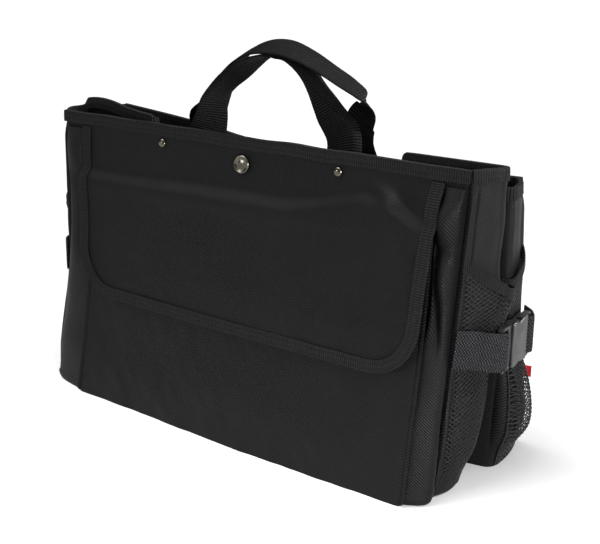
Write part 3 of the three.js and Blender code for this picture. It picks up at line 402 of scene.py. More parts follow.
# Materials
class Nodes:
    """Short ways to add shading nodes to one material."""

    def __init__(self, name):
        self.material = bpy.data.materials.new(name)
        self.material.use_nodes = True
        self.tree = self.material.node_tree
        self.shader = self.tree.nodes["Principled BSDF"]

    def link(self, source, target):
        self.tree.links.new(source, target)

    def put(self, socket, value):
        if hasattr(value, "is_linked"):
            self.link(value, socket)
        else:
            socket.default_value = value

    def math(self, operation, a, b=0.0, c=0.0):
        node = self.tree.nodes.new("ShaderNodeMath")
        node.operation = operation
        for socket, value in zip(node.inputs, (a, b, c)):
            self.put(socket, value)
        return node.outputs[0]

    def along(self, vector, way):
        """How far a vector goes along a direction."""
        node = self.tree.nodes.new("ShaderNodeVectorMath")
        node.operation = "DOT_PRODUCT"
        self.put(node.inputs[0], vector)
        node.inputs[1].default_value = way
        return node.outputs["Value"]

    def wave(self, vector, way, pitch):
        """A wave from -1 to 1 with the given pitch along a direction."""
        size = math.hypot(*way)
        unit = tuple(TURN / pitch * part / size for part in way)
        return self.math("SINE", self.along(vector, unit))

    def uv(self):
        return self.tree.nodes.new("ShaderNodeTexCoord").outputs["UV"]

    def place(self):
        return self.tree.nodes.new("ShaderNodeTexCoord").outputs["Object"]

    def noise(self, vector, scale, detail=3.0):
        node = self.tree.nodes.new("ShaderNodeTexNoise")
        self.put(node.inputs["Vector"], vector)
        node.inputs["Scale"].default_value = scale
        node.inputs["Detail"].default_value = detail
        return node.outputs["Fac"]

    def span(self, value, low, high, to_low, to_high):
        node = self.tree.nodes.new("ShaderNodeMapRange")
        for name, part in (("From Min", low), ("From Max", high), ("To Min", to_low), ("To Max", to_high)):
            node.inputs[name].default_value = part
        self.put(node.inputs["Value"], value)
        return node.outputs["Result"]

    def colours(self, value, dark, light):
        node = self.tree.nodes.new("ShaderNodeValToRGB")
        node.color_ramp.elements[0].color = (*dark, 1)
        node.color_ramp.elements[1].color = (*light, 1)
        self.put(node.inputs["Fac"], value)
        return node.outputs["Color"]

    def bump(self, height, distance, strength=1.0, before=None):
        node = self.tree.nodes.new("ShaderNodeBump")
        node.inputs["Strength"].default_value = strength
        node.inputs["Distance"].default_value = distance
        self.put(node.inputs["Height"], height)
        if before is not None:
            self.link(before, node.inputs["Normal"])
        return node.outputs["Normal"]

    def set(self, **values):
        for name, value in values.items():
            self.put(self.shader.inputs[name.replace("_", " ")], value)


def cloth_material(name, dark, light, rough):
    """Twill: fine lines rising to the right, each broken into short floats. UVs are in millimetres."""
    n = Nodes(name)
    uv = n.uv()
    rib = n.wave(uv, (1, -1, 0), 2.2)
    floats = n.wave(uv, (1, 1, 0), 1.5)
    height = n.math("MULTIPLY_ADD", floats, 0.25, rib)
    slubs = n.noise(uv, 0.35, 2.0)
    patches = n.noise(n.place(), 14.0, 4.0)
    shade = n.math("MULTIPLY_ADD", slubs, 0.16, n.span(height, -0.8, 1.1, 0.0, 0.84))
    shade = n.math("MULTIPLY", shade, n.span(patches, 0.3, 0.7, 0.9, 1.08))
    n.set(Base_Color=n.colours(shade, dark, light))
    n.set(Roughness=n.span(patches, 0.3, 0.7, rough - 0.06, rough + 0.06))
    n.set(Normal=n.bump(height, 0.0004, 0.5, n.bump(patches, 0.0015, 0.1)))
    n.set(Specular_IOR_Level=0.08, Sheen_Weight=0.008, Sheen_Roughness=0.4)
    return n.material


def tape_material(name, dark, light):
    """Grosgrain: ribs across the tape's length."""
    n = Nodes(name)
    uv = n.uv()
    rib = n.wave(uv, (1, 0, 0), 2.4)
    lane = n.wave(uv, (0, 1, 0), 5.5)
    height = n.math("MULTIPLY_ADD", lane, 0.3, rib)
    wear = n.noise(uv, 0.12, 3.0)
    shade = n.math("MULTIPLY_ADD", wear, 0.3, n.span(height, -1.1, 1.3, 0.0, 0.7))
    n.set(Base_Color=n.colours(shade, dark, light))
    n.set(Roughness=n.span(wear, 0.3, 0.7, 0.5, 0.68))
    n.set(Normal=n.bump(height, 0.0004, 0.7))
    n.set(Specular_IOR_Level=0.04, Sheen_Weight=0.01)
    return n.material


def webbing_material(name, dark, light, across, along, ribbed):
    """Webbing: picks across its length, broken by the warp into rows of dots as far as it isn't ribbed."""
    n = Nodes(name)
    uv = n.uv()
    picks = n.wave(uv, (1, 0, 0), across)
    warp = n.wave(uv, (0, 1, 0), along)
    skew = n.wave(uv, (1, 0.5, 0), across * 0.9)
    ribs = n.math("MULTIPLY", picks, ribbed)
    dots = n.math("MULTIPLY_ADD", n.math("MULTIPLY", picks, warp), 1 - ribbed, ribs)
    height = n.math("MULTIPLY_ADD", skew, 0.3, dots)
    wear = n.noise(uv, 0.1, 3.0)
    shade = n.math("MULTIPLY_ADD", wear, 0.2, n.span(height, -0.3, 1.1, 0.0, 0.8))
    n.set(Base_Color=n.colours(shade, dark, light))
    n.set(Roughness=n.span(wear, 0.3, 0.7, 0.45, 0.65))
    n.set(Normal=n.bump(height, 0.0006, 0.8))
    n.set(Specular_IOR_Level=0.02, Sheen_Weight=0.01)
    return n.material


def strand_material(name, dark, light, rough):
    n = Nodes(name)
    tint = n.noise(n.place(), 400.0, 2.0)
    n.set(Base_Color=n.colours(tint, dark, light))
    n.set(Roughness=n.span(tint, 0.3, 0.7, rough - 0.08, rough + 0.08))
    n.set(Normal=n.bump(n.noise(n.place(), 2500.0, 2.0), 0.0002, 0.4))
    n.set(Specular_IOR_Level=0.14, Sheen_Weight=0.02)
    return n.material


def plastic_material(name, dark, light):
    n = Nodes(name)
    grain = n.noise(n.place(), 1800.0, 2.0)
    scuffs = n.noise(n.place(), 60.0, 5.0)
    n.set(Base_Color=n.colours(n.span(scuffs, 0.3, 0.7, 0.0, 1.0), dark, light))
    n.set(Roughness=n.span(scuffs, 0.35, 0.7, 0.3, 0.5))
    n.set(Normal=n.bump(grain, 0.0002, 0.25))
    return n.material


def metal_material(name, dark, light):
    n = Nodes(name)
    marks = n.noise(n.place(), 220.0, 4.0)
    n.set(Base_Color=n.colours(marks, dark, light))
    n.set(Roughness=n.span(marks, 0.3, 0.8, 0.08, 0.24))
    n.set(Normal=n.bump(marks, 0.0002, 0.06))
    n.set(Metallic=1.0)
    return n.material


CLOTH_LOOK = cloth_material("black_twill", (0.0002, 0.0002, 0.0003), (0.0076, 0.0078, 0.0083), 0.46)
LINING_LOOK = cloth_material("black_lining", (0.002, 0.002, 0.0024), (0.011, 0.011, 0.012), 0.7)
TAPE_LOOK = tape_material("ribbed_tape", (0.0005, 0.0005, 0.0006), (0.0135, 0.0135, 0.0143))
HANDLE_LOOK = webbing_material(
    "handle_webbing", (0.0002, 0.0002, 0.0003), (0.0088, 0.0086, 0.009), 2.5, 2.6, 0.75
)
# The straps' webbing is coloured about five times lighter than the handles': painted light from the lamp at
# the right.
STRAP_LOOK = webbing_material("strap_webbing", (0.0006, 0.0006, 0.0007), (0.044, 0.044, 0.047), 3.0, 3.4, 0.0)
# The net's strands are coloured lighter than the cloth: painted sheen on the round strands.
NET_LOOK = strand_material("net_strand", (0.003, 0.003, 0.0032), (0.019, 0.019, 0.0203), 0.5)
THREAD_LOOK = strand_material("sewing_thread", (0.0015, 0.0015, 0.0017), (0.007, 0.007, 0.0075), 0.6)
RED_LOOK = cloth_material("red_tab", (0.16, 0.004, 0.008), (0.4, 0.015, 0.022), 0.6)
PLASTIC_LOOK = plastic_material("dark_plastic", (0.007, 0.0071, 0.0076), (0.012, 0.0122, 0.0132))
# Steel in a colour far darker than real steel: painted shade that dims the domes' reflections of the bright
# floor and sky.
METAL_LOOK = metal_material("steel_painted_dark", (0.05, 0.045, 0.036), (0.15, 0.138, 0.115))


# Meshes
def put_mesh(name, points, faces, uvs, look, nodes=()):
    """A piece from points in the drawing frame, faces, and one UV for each point."""
    mesh = bpy.data.meshes.new(name)
    mesh.from_pydata(world(points), [], faces)
    if uvs is not None:
        layer = mesh.uv_layers.new(name="flat")
        index = np.empty(len(mesh.loops), np.int32)
        mesh.loops.foreach_get("vertex_index", index)
        layer.data.foreach_set("uv", np.asarray(uvs, np.float32)[index].ravel())
    mesh.polygons.foreach_set("use_smooth", np.ones(len(mesh.polygons), bool))
    mesh.set_sharp_from_angle(angle=math.radians(SHARP_ANGLE))
    mesh.materials.append(look)
    piece = bpy.data.objects.new(name, mesh)
    bpy.context.scene.collection.objects.link(piece)
    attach(piece, "root")
    if nodes:
        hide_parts(*nodes)
    return piece


def grid_normals(grid, flat_foot=False):
    along = np.gradient(grid, axis=0)
    across = np.gradient(grid, axis=1)
    normals = np.cross(along, across)
    if flat_foot:
        normals[0, :, 2] = 0
    return normals / np.linalg.norm(normals, axis=2, keepdims=True)


def grid_faces(rows, columns, first=0, flip=False):
    i, j = np.meshgrid(np.arange(rows - 1), np.arange(columns - 1), indexing="ij")
    a = first + (i * columns + j).ravel()
    corners = [a, a + columns, a + columns + 1, a + 1]
    if flip:
        corners.reverse()
    return np.stack(corners, axis=1).tolist()


def volume_of(points, faces):
    """Six times the signed volume of a closed mesh of triangles and quads."""
    total = 0.0
    for size in sorted({len(face) for face in faces}):
        block = np.array([face for face in faces if len(face) == size])
        base = points[block[:, 0]]
        for k in range(1, size - 1):
            total += np.sum(base * np.cross(points[block[:, k]], points[block[:, k + 1]]))
    return total


def sheet_piece(name, grid, uv, thickness, look, nodes=(), flat_foot=False):
    """A closed sheet about a grid of points, of one thickness or of one for each point."""
    rows, columns = grid.shape[:2]
    half = grid_normals(grid, flat_foot) * np.broadcast_to(thickness, (rows, columns))[..., None] / 2
    points = np.concatenate([(grid + half).reshape(-1, 3), (grid - half).reshape(-1, 3)])
    back = rows * columns
    faces = grid_faces(rows, columns) + grid_faces(rows, columns, back, True)
    edge = [j for j in range(columns - 1)]
    edge += [i * columns + columns - 1 for i in range(rows - 1)]
    edge += [(rows - 1) * columns + j for j in range(columns - 1, 0, -1)]
    edge += [i * columns for i in range(rows - 1, 0, -1)]
    for a, b in zip(edge, edge[1:] + edge[:1]):
        faces.append([a, b, back + b, back + a])
    if volume_of(points, faces) < 0:
        faces = [face[::-1] for face in faces]
    flat = np.stack(uv, axis=2).reshape(-1, 2)
    return put_mesh(name, points, faces, np.concatenate([flat, flat]), look, nodes)


def sweep_piece(name, points, uv, look, nodes=()):
    """A closed solid from rings of points, given as stations by ring points, capped at both ends."""
    stations, size = points.shape[:2]
    flat = points.reshape(-1, 3)
    faces = ring_faces(stations, size)
    if volume_of(flat, faces) < 0:
        faces = [face[::-1] for face in faces]
    return put_mesh(name, flat, faces, np.stack(uv, axis=2).reshape(-1, 2), look, nodes)


def ring_faces(stations, size):
    """Faces of a closed tube of rings with flat ends."""
    i, k = np.meshgrid(np.arange(stations - 1), np.arange(size), indexing="ij")
    a = (i * size + k).ravel()
    b = (i * size + (k + 1) % size).ravel()
    last = (stations - 1) * size
    sides = np.stack([a, b, b + size, a + size], axis=1).tolist()
    return sides + [list(range(size))[::-1], list(range(last, last + size))]


def shares(name, start=0):
    """Shares up and across one sheet's grid, across from the given start to 1."""
    rows, columns = GRID[name]
    return np.meshgrid(np.linspace(0, 1, rows), np.linspace(start, 1, columns), indexing="ij")


def unit(vectors):
    return vectors / np.linalg.norm(vectors, axis=-1, keepdims=True)


def length_along(line):
    steps = np.linalg.norm(np.diff(line, axis=0), axis=1)
    return np.concatenate([[0], np.cumsum(steps)])


def ripple(x, z, length, seed, waves=7):
    """Soft unevenness, mostly between -1 and 1, with waves of about the given length."""
    draw = np.random.default_rng(seed)
    total = 0.0
    for _ in range(waves):
        angle, phase = draw.uniform(0, TURN, 2)
        pace = TURN / (length * draw.uniform(0.7, 1.6))
        total = total + np.sin(pace * (x * math.cos(angle) + z * math.sin(angle)) + phase)
    return total / math.sqrt(waves)


def uneven(name, x, z, shift=0):
    """The layers of soft unevenness of one kind of piece."""
    return sum(height * ripple(x, z, length, seed + shift) for height, length, seed in UNEVEN[name])


def ridges(rows, x, z):
    """The sum of a table of soft ridges at a place on an upright sheet."""
    total = 0.0
    for k in range(len(rows["x"])):
        angle = math.radians(rows["turn"][k])
        dx, dz = x - rows["x"][k], z - rows["z"][k]
        along = dx * math.cos(angle) + dz * math.sin(angle)
        across = dz * math.cos(angle) - dx * math.sin(angle)
        bell = np.exp(-((along / rows["length"][k]) ** 2) - (across / rows["width"][k]) ** 2)
        total = total + rows["height"][k] * bell
    return total


# Stitches, joined into one mesh for each seam
def stitch_row(name, line, normals):
    """Short threads along a line of points, lying on a surface with the given normals."""
    at = length_along(line)
    count = int(at[-1] / STITCH["pitch"])
    sides, radius = STITCH["sides"], STITCH["radius"]
    points, faces = [], []
    for place in (np.arange(count) + 0.5) * STITCH["pitch"]:
        ends = [place - STITCH["length"] / 2, place + STITCH["length"] / 2]
        a, b = (np.array([np.interp(end, at, line[:, k]) for k in range(3)]) for end in ends)
        up = unit(np.array([np.interp(place, at, normals[:, k]) for k in range(3)]))
        side = unit(np.cross(b - a, up))
        first = len(points)
        low, high, last = first + 1, first + 1 + sides, first + 1 + 2 * sides
        points.append(a - up * STITCH["sunk"])
        for share in (0.22, 0.78):
            middle = a + (b - a) * share + up * radius * 0.5
            for turn in range(sides):
                angle = TURN * turn / sides
                points.append(middle + radius * (math.cos(angle) * side + math.sin(angle) * up))
        points.append(b - up * STITCH["sunk"])
        for k in range(sides):
            n = (k + 1) % sides
            faces.append([first, low + k, low + n])
            faces.append([low + k, high + k, high + n, low + n])
            faces.append([high + k, last, high + n])
    put_mesh(name, np.array(points), faces, None, THREAD_LOOK)


# Walls
def seam_at(column, z):
    return read(SEAM_ROWS, column, z)


def front_wall_y(z):
    return seam_at("front", z)


def front_seam_at(side, z):
    return seam_at("left" if side < 0 else "right", z)


def rear_top_at(x):
    return read(REAR_TOP_ROWS, "top", x, "x")


def front_wall_at(x, z):
    return np.stack([x, front_wall_y(z), z], axis=-1)


def front_wall():
    v, u = shares("front_wall", -1)
    z = v * FRONT_TOP
    edge = lerp(front_seam_at(-1, z), front_seam_at(1, z), (u + 1) / 2)
    x = u * (edge - GAP - WALL_INSET["width"] * smooth((WALL_INSET["below"] - z) / WALL_INSET["fade"]))
    grid = front_wall_at(x, z)
    return sheet_piece("front_wall_cloth", grid, (x, z), CLOTH, CLOTH_LOOK, ["front_wall"], True)


def rear_wall_at(across, v):
    x = across * (seam_at("rear_half", v * FRONT_TOP) + REAR_OVERLAP)
    z = v * rear_top_at(x)
    return np.stack([x, seam_at("rear", z), z], axis=-1)


def rear_wall():
    v, u = shares("rear_wall", -1)
    grid = rear_wall_at(u, v)
    x, z = grid[..., 0], grid[..., 2]
    inside = smooth((1 - np.abs(u)) / REAR_EASE["side"])
    inside = inside * smooth(v / REAR_EASE["foot"]) * smooth((1 - v) / REAR_EASE["top"])
    grid[..., 1] += inside * uneven("rear_wall", x, z)
    return sheet_piece("rear_wall_cloth", grid, (x, z), CLOTH, CLOTH_LOOK, ["rear_wall"], True)


# Folded ends
def end_line(z, side):
    """The end panel's line in plan at one height."""
    def at(column):
        return float(read(FOLD_ROWS, column, z))

    def towards(start, goal, length):
        return start + (goal - start) * length / np.linalg.norm(goal - start)

    def bend(a, b, c, steps):
        t = np.linspace(0, 1, steps + 1)[1:, None]
        return (1 - t) ** 2 * a + 2 * t * (1 - t) * b + t * t * c

    def bowed(a, b, steps):
        return bend(a, (a + b) / 2 + (2 * SIDE_BOW, 0), b, steps)

    front = np.array([front_seam_at(side, z) + GAP, front_wall_y(z) + SEAM_START])
    corner = np.array([at("left" if side < 0 else "right"), at("corner_y")])
    fold_x = at("fold_x") + FOLD_RADIUS
    rear_corner = np.array([at("rear_corner"), at("rear_corner_y")])
    rear = np.array([seam_at("rear_half", z) + GAP, seam_at("rear", z) - SEAM_START])
    layer_end = np.array([fold_x, at("fold_y") - FOLD_RADIUS])
    rear_layer_end = np.array([fold_x, at("fold_y") + FOLD_RADIUS])
    face_end = towards(corner, front, CORNER_ROUND)
    layer_start = towards(corner, layer_end, CORNER_ROUND)
    rear_layer_start = towards(rear_corner, rear_layer_end, CORNER_ROUND)
    rear_face_end = towards(rear_corner, rear, CORNER_ROUND)
    turns = np.linspace(-math.pi / 2, -1.5 * math.pi, SIDE_STEPS["fold"] + 1)[1:, None]
    arc = np.array([fold_x, at("fold_y")]) + FOLD_RADIUS * np.hstack([np.cos(turns), np.sin(turns)])
    layers = np.linspace(0, 1, SIDE_STEPS["layer"] + 1)[1:, None]
    return np.concatenate([
        front[None],
        bowed(front, face_end, SIDE_STEPS["face"]),
        bend(face_end, corner, layer_start, SIDE_STEPS["corner"]),
        lerp(layer_start, layer_end, layers),
        arc,
        lerp(rear_layer_end, rear_layer_start, layers),
        bend(rear_layer_start, rear_corner, rear_face_end, SIDE_STEPS["corner"]),
        bowed(rear_face_end, rear, SIDE_STEPS["face"]),
    ])


END_LINES = {side: np.array([end_line(z, side) for z in END_HEIGHTS]) for side in (-1, 1)}
END_POINTS = END_LINES[1].shape[1]


def end_outs(side):
    way = unit(np.gradient(END_LINES[side], axis=1))
    return np.stack([way[..., 1], -way[..., 0]], axis=-1)


END_OUTS = {side: end_outs(side) for side in (-1, 1)}


def at_height(lines, k, z):
    """Values of one column of the end lines at some heights."""
    place = np.clip(z, 0, FRONT_TOP)
    return np.stack([np.interp(place, END_HEIGHTS, lines[:, k, axis]) for axis in (0, 1)], axis=-1)


def end_top(share, side):
    def reached(row):
        return smooth((share - row["from"]) / row["span"])

    rear_top = rear_top_at(side * seam_at("rear_half", FRONT_TOP))
    layer = FRONT_TOP - CORNER_SAG["depth"] * reached(CORNER_SAG)
    peak = LEFT_PEAK["height"] * np.exp(-(((share - LEFT_PEAK["at"]) / LEFT_PEAK["spread"]) ** 2))
    return lerp(layer, rear_top, reached(FOLD_DROP)) + (peak if side < 0 else 0)


def end_places(side, k, z):
    """Points of the end panel's line and their outward directions for one column."""
    point = at_height(END_LINES[side], k, z)
    out = at_height(END_OUTS[side], k, z)
    place = np.stack([side * point[..., 0], point[..., 1], z], axis=-1)
    outward = np.stack([side * out[..., 0], out[..., 1], 0 * z], axis=-1)
    return place, outward


def net_fill(side, k, z):
    """How far the net stands out in front of one column of an end panel."""
    end = "front" if k < END_POINTS / 2 else "rear"
    u = min(k, END_POINTS - 1 - k) / NET_STEPS
    row = next(row for row in NETS if row["end"] == end and row["side"] == side)
    return np.maximum(0, net_slack(row, u, z)) * smooth((hem_at(row, min(1, u)) - z) / FILL_FADE)


def panel_seam(distance):
    """The rolled strip along an end panel's sewn edges, with a groove at its inner side."""
    groove = np.exp(-(((distance - PANEL_SEAM["inset"]) / PANEL_SEAM["width"]) ** 2))
    strip = np.sin(math.pi * np.clip(distance / PANEL_SEAM["inset"], 0, 1)) ** 0.8
    return PANEL_SEAM["rise"] * strip - PANEL_SEAM["groove"] * groove, PANEL_SEAM["forward"] * strip


def end_panel(side, word):
    rows = END_ROWS
    grid, flat = [], []
    run = length_along(END_LINES[side][len(END_HEIGHTS) // 2])
    for k in range(END_POINTS):
        z = np.linspace(0, end_top(k / (END_POINTS - 1), side), rows)
        place, outward = end_places(side, k, z)
        face = smooth(min(k, END_POINTS - 1 - k) / (SIDE_STEPS["face"] * END_EASE["face"]))
        shape = uneven("end", run[k], z, side)
        below_top = smooth((z[-1] - z) / END_EASE["top"])
        ease = face * smooth(z / END_EASE["foot"]) * below_top
        roll, forward = panel_seam(min(run[k], run[-1] - run[k]))
        sewn = below_top * smooth(z / END_EASE["seam_foot"])
        off = END_EASE["share"] * ease * shape + PANEL_FILL * net_fill(side, k, z) + roll * sewn
        place[:, 1] += forward * sewn * (-1 if k < END_POINTS / 2 else 1)
        grid.append(place + outward * off[:, None])
        flat.append(np.stack([np.full(rows, run[k]), z], axis=-1))
    grid = np.array(grid).transpose(1, 0, 2)
    flat = np.array(flat).transpose(1, 0, 2)
    name = f"side_panel_{word}_cloth"
    return sheet_piece(name, grid, (flat[..., 0], flat[..., 1]), CLOTH, CLOTH_LOOK,
                       [f"side_panel_{word}"], True)


# Base
def panel_reach(side, y, z):
    """How far out the end panel's outer faces lie at a depth and a height."""
    line = END_LINES[side][int(round(z / FRONT_TOP * (len(END_HEIGHTS) - 1)))]
    count = SIDE_STEPS["face"] + SIDE_STEPS["corner"] // 2
    front, rear = line[:count], line[::-1][:count]
    face = front if y < (front[-1, 1] + rear[-1, 1]) / 2 else rear
    order = np.argsort(face[:, 1])
    return np.interp(y, face[order, 1], face[order, 0])


def base_panel():
    rows, columns = GRID["base"]
    v, u = shares("base")
    front_foot = front_wall_y(0) + CLOTH + GAP
    rear_foot = seam_at("rear", 0) - CLOTH - GAP
    peak = 1 - np.abs(2 * v - 1)
    z = CLOTH / 2 + BASE_RISE * np.sin(math.pi / 2 * peak)
    y = lerp(front_foot, rear_foot, v)
    spread = CLOTH / 2 + BASE_CLEAR + 1
    fold_x = read(FOLD_ROWS, "fold_x", z) - spread
    corner = read(FOLD_ROWS, "left", z)
    fold_y = read(FOLD_ROWS, "fold_y", z)
    reach = {}
    for side in (-1, 1):
        full = np.array([[panel_reach(side, y[k, 0], z[k, 0]) - BASE_EDGE] for k in range(rows)]) + 0 * v
        share = np.clip((full - fold_x) / (corner - fold_x), 0, 1)
        near = lerp(fold_y - FOLD_RADIUS - spread, read(FOLD_ROWS, "corner_y", z) - 2 * spread, share)
        far = lerp(fold_y + FOLD_RADIUS + spread, read(FOLD_ROWS, "rear_corner_y", z) + 2 * spread, share)
        room = smooth((y - near + BASE_NOTCH) / (2 * BASE_NOTCH))
        room = room * smooth((far + BASE_NOTCH - y) / (2 * BASE_NOTCH))
        reach[side] = lerp(full, np.minimum(full, fold_x), room)
    x = lerp(-reach[-1], reach[1], u)
    grid = np.stack([x, y, z], axis=-1)
    run = np.cumsum(np.hypot(np.diff(y[:, 0], prepend=y[0, 0]), np.diff(z[:, 0], prepend=z[0, 0])))
    return sheet_piece("base_panel_cloth", grid, (x, np.repeat(run[:, None], columns, axis=1)), CLOTH,
                       LINING_LOOK, ["base_panel"])


# Front pocket
def pocket_at(column, z):
    return read(POCKET_ROWS, column, z)


def pocket_depth(x, z):
    pressed = lerp(LEFT_DEPTH["share"], 1, smooth((x - LEFT_DEPTH["from"]) / LEFT_DEPTH["span"]))
    return np.maximum(pressed * pocket_at("depth", z), LEAST_DEPTH)


def pocket_face_y(x, z):
    return front_wall_y(z) - pocket_depth(x, z)


def edge_roll(distance):
    """The turned edge of a sewn panel: a groove at the stitching and a soft roll outside it."""
    groove = np.exp(-(((distance - SEAM_ROLL["inset"]) / SEAM_ROLL["width"]) ** 2))
    inner, outer = SEAM_ROLL["inner"], SEAM_ROLL["outer"]
    roll = smooth((SEAM_ROLL["inset"] - distance) / inner) * smooth((distance + outer) / (2 * outer))
    return SEAM_ROLL["rise"] * roll - SEAM_ROLL["groove"] * groove


def rounded_foot(x, half, radius, foot):
    past = np.maximum(0, np.abs(x) - (half - radius))
    return foot + radius - np.sqrt(np.maximum(0, radius * radius - past * past))


def spread_shares(count, edge, dense):
    """Shares from -1 to 1 that lie closer together near both ends."""
    t = np.linspace(-1, 1, count)
    return t * (1 - edge) + edge * np.sign(t) * (1 - (1 - np.abs(t)) ** dense)


def pocket_face():
    rows, columns = GRID["pocket"]
    half = float(pocket_at("half", 0))
    across = half * spread_shares(columns, POCKET_SPACING["edge"], POCKET_SPACING["dense"])
    v, flat = np.meshgrid(np.linspace(0, 1, rows) ** POCKET_SPACING["up"], across, indexing="ij")
    z = lerp(rounded_foot(flat, half, POCKET_CORNER, 0), POCKET_MOUTH, v)
    x = pocket_at("middle", z) + flat * pocket_at("half", z) / half
    inside = pocket_at("half", z) - np.abs(x - pocket_at("middle", z))
    fade = smooth(inside / DENT_FADE)
    dent = fade * ridges(POCKET_DENTS, x, z)
    soft = uneven("pocket", x, z)
    gathers = np.sin(TURN * z / PUCKER["length"] + PUCKER["sway"] * np.sin(z / PUCKER["drift"]))
    pucker = PUCKER["height"] * np.exp(-inside / PUCKER["reach"]) * gathers
    y = pocket_face_y(x, z) - dent - fade * soft
    y = y - pucker * smooth(inside / PUCKER["edge"]) - edge_roll(inside)
    grid = np.stack([x, y, z], axis=-1)
    return sheet_piece("pocket_face_cloth", grid, (x, z), CLOTH, CLOTH_LOOK,
                       ["front_pocket_face"], True)


def gusset_run():
    """The run of the gusset: down one side, along the foot and up the other."""
    side, corner, along = (GUSSET_STEPS[part] for part in ("side", "corner", "foot"))
    down = [("side", lerp(GUSSET_TOP, POCKET_CORNER, k / side), -1) for k in range(side)]
    down += [("corner", math.pi / 2 * k / corner, -1) for k in range(corner)]
    foot = [("foot", k / along, 0) for k in range(along + 1)]
    return down + foot + [(part, place, 1) for part, place, _ in reversed(down)]


def pocket_gusset():
    """A soft strip from the wall's seam: a puff, a valley, and the rise to the pocket's face."""
    rise = CLOTH / 2
    bend = POCKET_CORNER - rise

    def edge(reach, part, place, hand):
        if part == "side":
            return hand * (reach(hand, place) - rise), place
        if part == "foot":
            ends = [side * (reach(side, 0) - POCKET_CORNER) for side in (-1, 1)]
            return lerp(ends[0], ends[1], place), rise
        straight = hand * (reach(hand, 0) - POCKET_CORNER)
        return straight + hand * bend * math.cos(place), POCKET_CORNER - bend * math.sin(place)

    def wall_reach(side, z):
        return float(front_seam_at(side, z))

    def face_reach(side, z):
        pocket = float(pocket_at("half", z) + side * pocket_at("middle", z))
        beside_flap = float(flap_reach(side, z)) + side * FLAP_MIDDLE + STRIP_CLEAR
        return lerp(pocket, beside_flap, float(smooth((z - STRIP_LEAVES[side]) / STRIP_LEAVING)))

    columns = GUSSET_COLUMNS
    u = np.linspace(0, 1, columns)
    grid, thick = [], []
    for part, place, hand in gusset_run():
        wall_x, wall_z = edge(wall_reach, part, place, hand)
        face_x, face_z = edge(face_reach, part, place, hand)
        wall_y = float(front_wall_y(wall_z)) - CLOTH / 2 - LOOSE - GAP
        closing = min(1, max(0, (POCKET_MOUTH - face_z) / GUSSET_CLOSE))
        face_y = float(pocket_face_y(face_x, face_z)) + CLOTH / 2 + 2 * LOOSE
        depth_open = math.sqrt(1 - (1 - closing) ** 2)
        depth = (wall_y - face_y) * depth_open
        if hand > 0:
            depth *= lerp(1, SUNK["share"], float(smooth((face_z - SUNK["from"]) / SUNK["span"])))
        valley = float(smooth((face_z - VALLEY["from"]) / VALLEY["span"])) * abs(hand)
        waves = 1 + STRIP_WAVES["high"] * math.sin(face_z / STRIP_WAVES["long"] + hand)
        waves += STRIP_WAVES["low"] * math.sin(face_z / STRIP_WAVES["short"])
        soft = GUSSET_SOFT["height"] * abs(hand) * waves * smooth(face_z / GUSSET_SOFT["foot"])
        soft = soft * np.sin(math.pi * u) ** GUSSET_SOFT["power"]
        size = math.hypot(face_x - wall_x, depth)
        straight = depth * u + soft * abs(face_x - wall_x) / size
        puff = float(read(STRIP_ROWS, "puff", face_z)) * waves * (1 if hand > 0 else LEFT_PUFF)
        floor_at = lerp(VALLEY["closed"], VALLEY["at"], depth_open)
        hump = np.sin(math.pi * np.minimum(1, u / floor_at)) ** VALLEY["power"]
        folded = puff * hump + depth * smooth((u - floor_at) / (1 - floor_at))
        across = lerp(u, np.minimum(1, u / VALLEY["edge"]), valley * depth_open)
        lean = hand * soft * depth / size * (1 - valley)
        side_puff = hand * GUSSET_PUFF * max(0, 1 - face_z / POCKET_MOUTH) * np.sin(math.pi * u)
        wrap = smooth(1 - u / STRIP_WRAP["share"]) * hand
        x = lerp(wall_x, face_x, across) + side_puff + lean + STRIP_WRAP["aside"] * wrap
        y = wall_y - lerp(straight, folded, valley) + STRIP_WRAP["back"] * abs(wrap)
        grid.append(np.stack([x, y, lerp(wall_z, face_z, u)], axis=-1))
        above = 1 - closing
        seam_side = lerp(STRIP_THIN["seam"], 1, smooth(u / STRIP_THIN["seam_share"]))
        inner_side = lerp(STRIP_THIN["inner"], 1, smooth((1 - u) / STRIP_THIN["inner_share"]))
        inner_side = lerp(1, inner_side, above)
        thick.append(CLOTH * seam_side * inner_side)
    grid = np.array(grid)
    run = length_along(grid[:, columns // 2])
    depth = np.linalg.norm(np.diff(grid, axis=1), axis=2)
    depth = np.concatenate([np.zeros((len(grid), 1)), np.cumsum(depth, axis=1)], axis=1)
    uv = (depth, np.repeat(run[:, None], columns, axis=1))
    return sheet_piece("pocket_gusset_cloth", grid, uv, np.array(thick), CLOTH_LOOK,
                       ["front_pocket_gusset"])


# Flap
def flap_reach(side, z):
    """The flap's reach to one side of its middle, wider near its top."""
    extra = np.where(side < 0, FLAP_SPREAD["left"], FLAP_SPREAD["right"])
    return FLAP_HALF + extra * smooth((z - FLAP_SPREAD["from"]) / FLAP_SPREAD["span"])


def flap_x(flat, z):
    """Where a place across the flat flap lies at a height."""
    return FLAP_MIDDLE + flat * flap_reach(flat, z) / FLAP_HALF


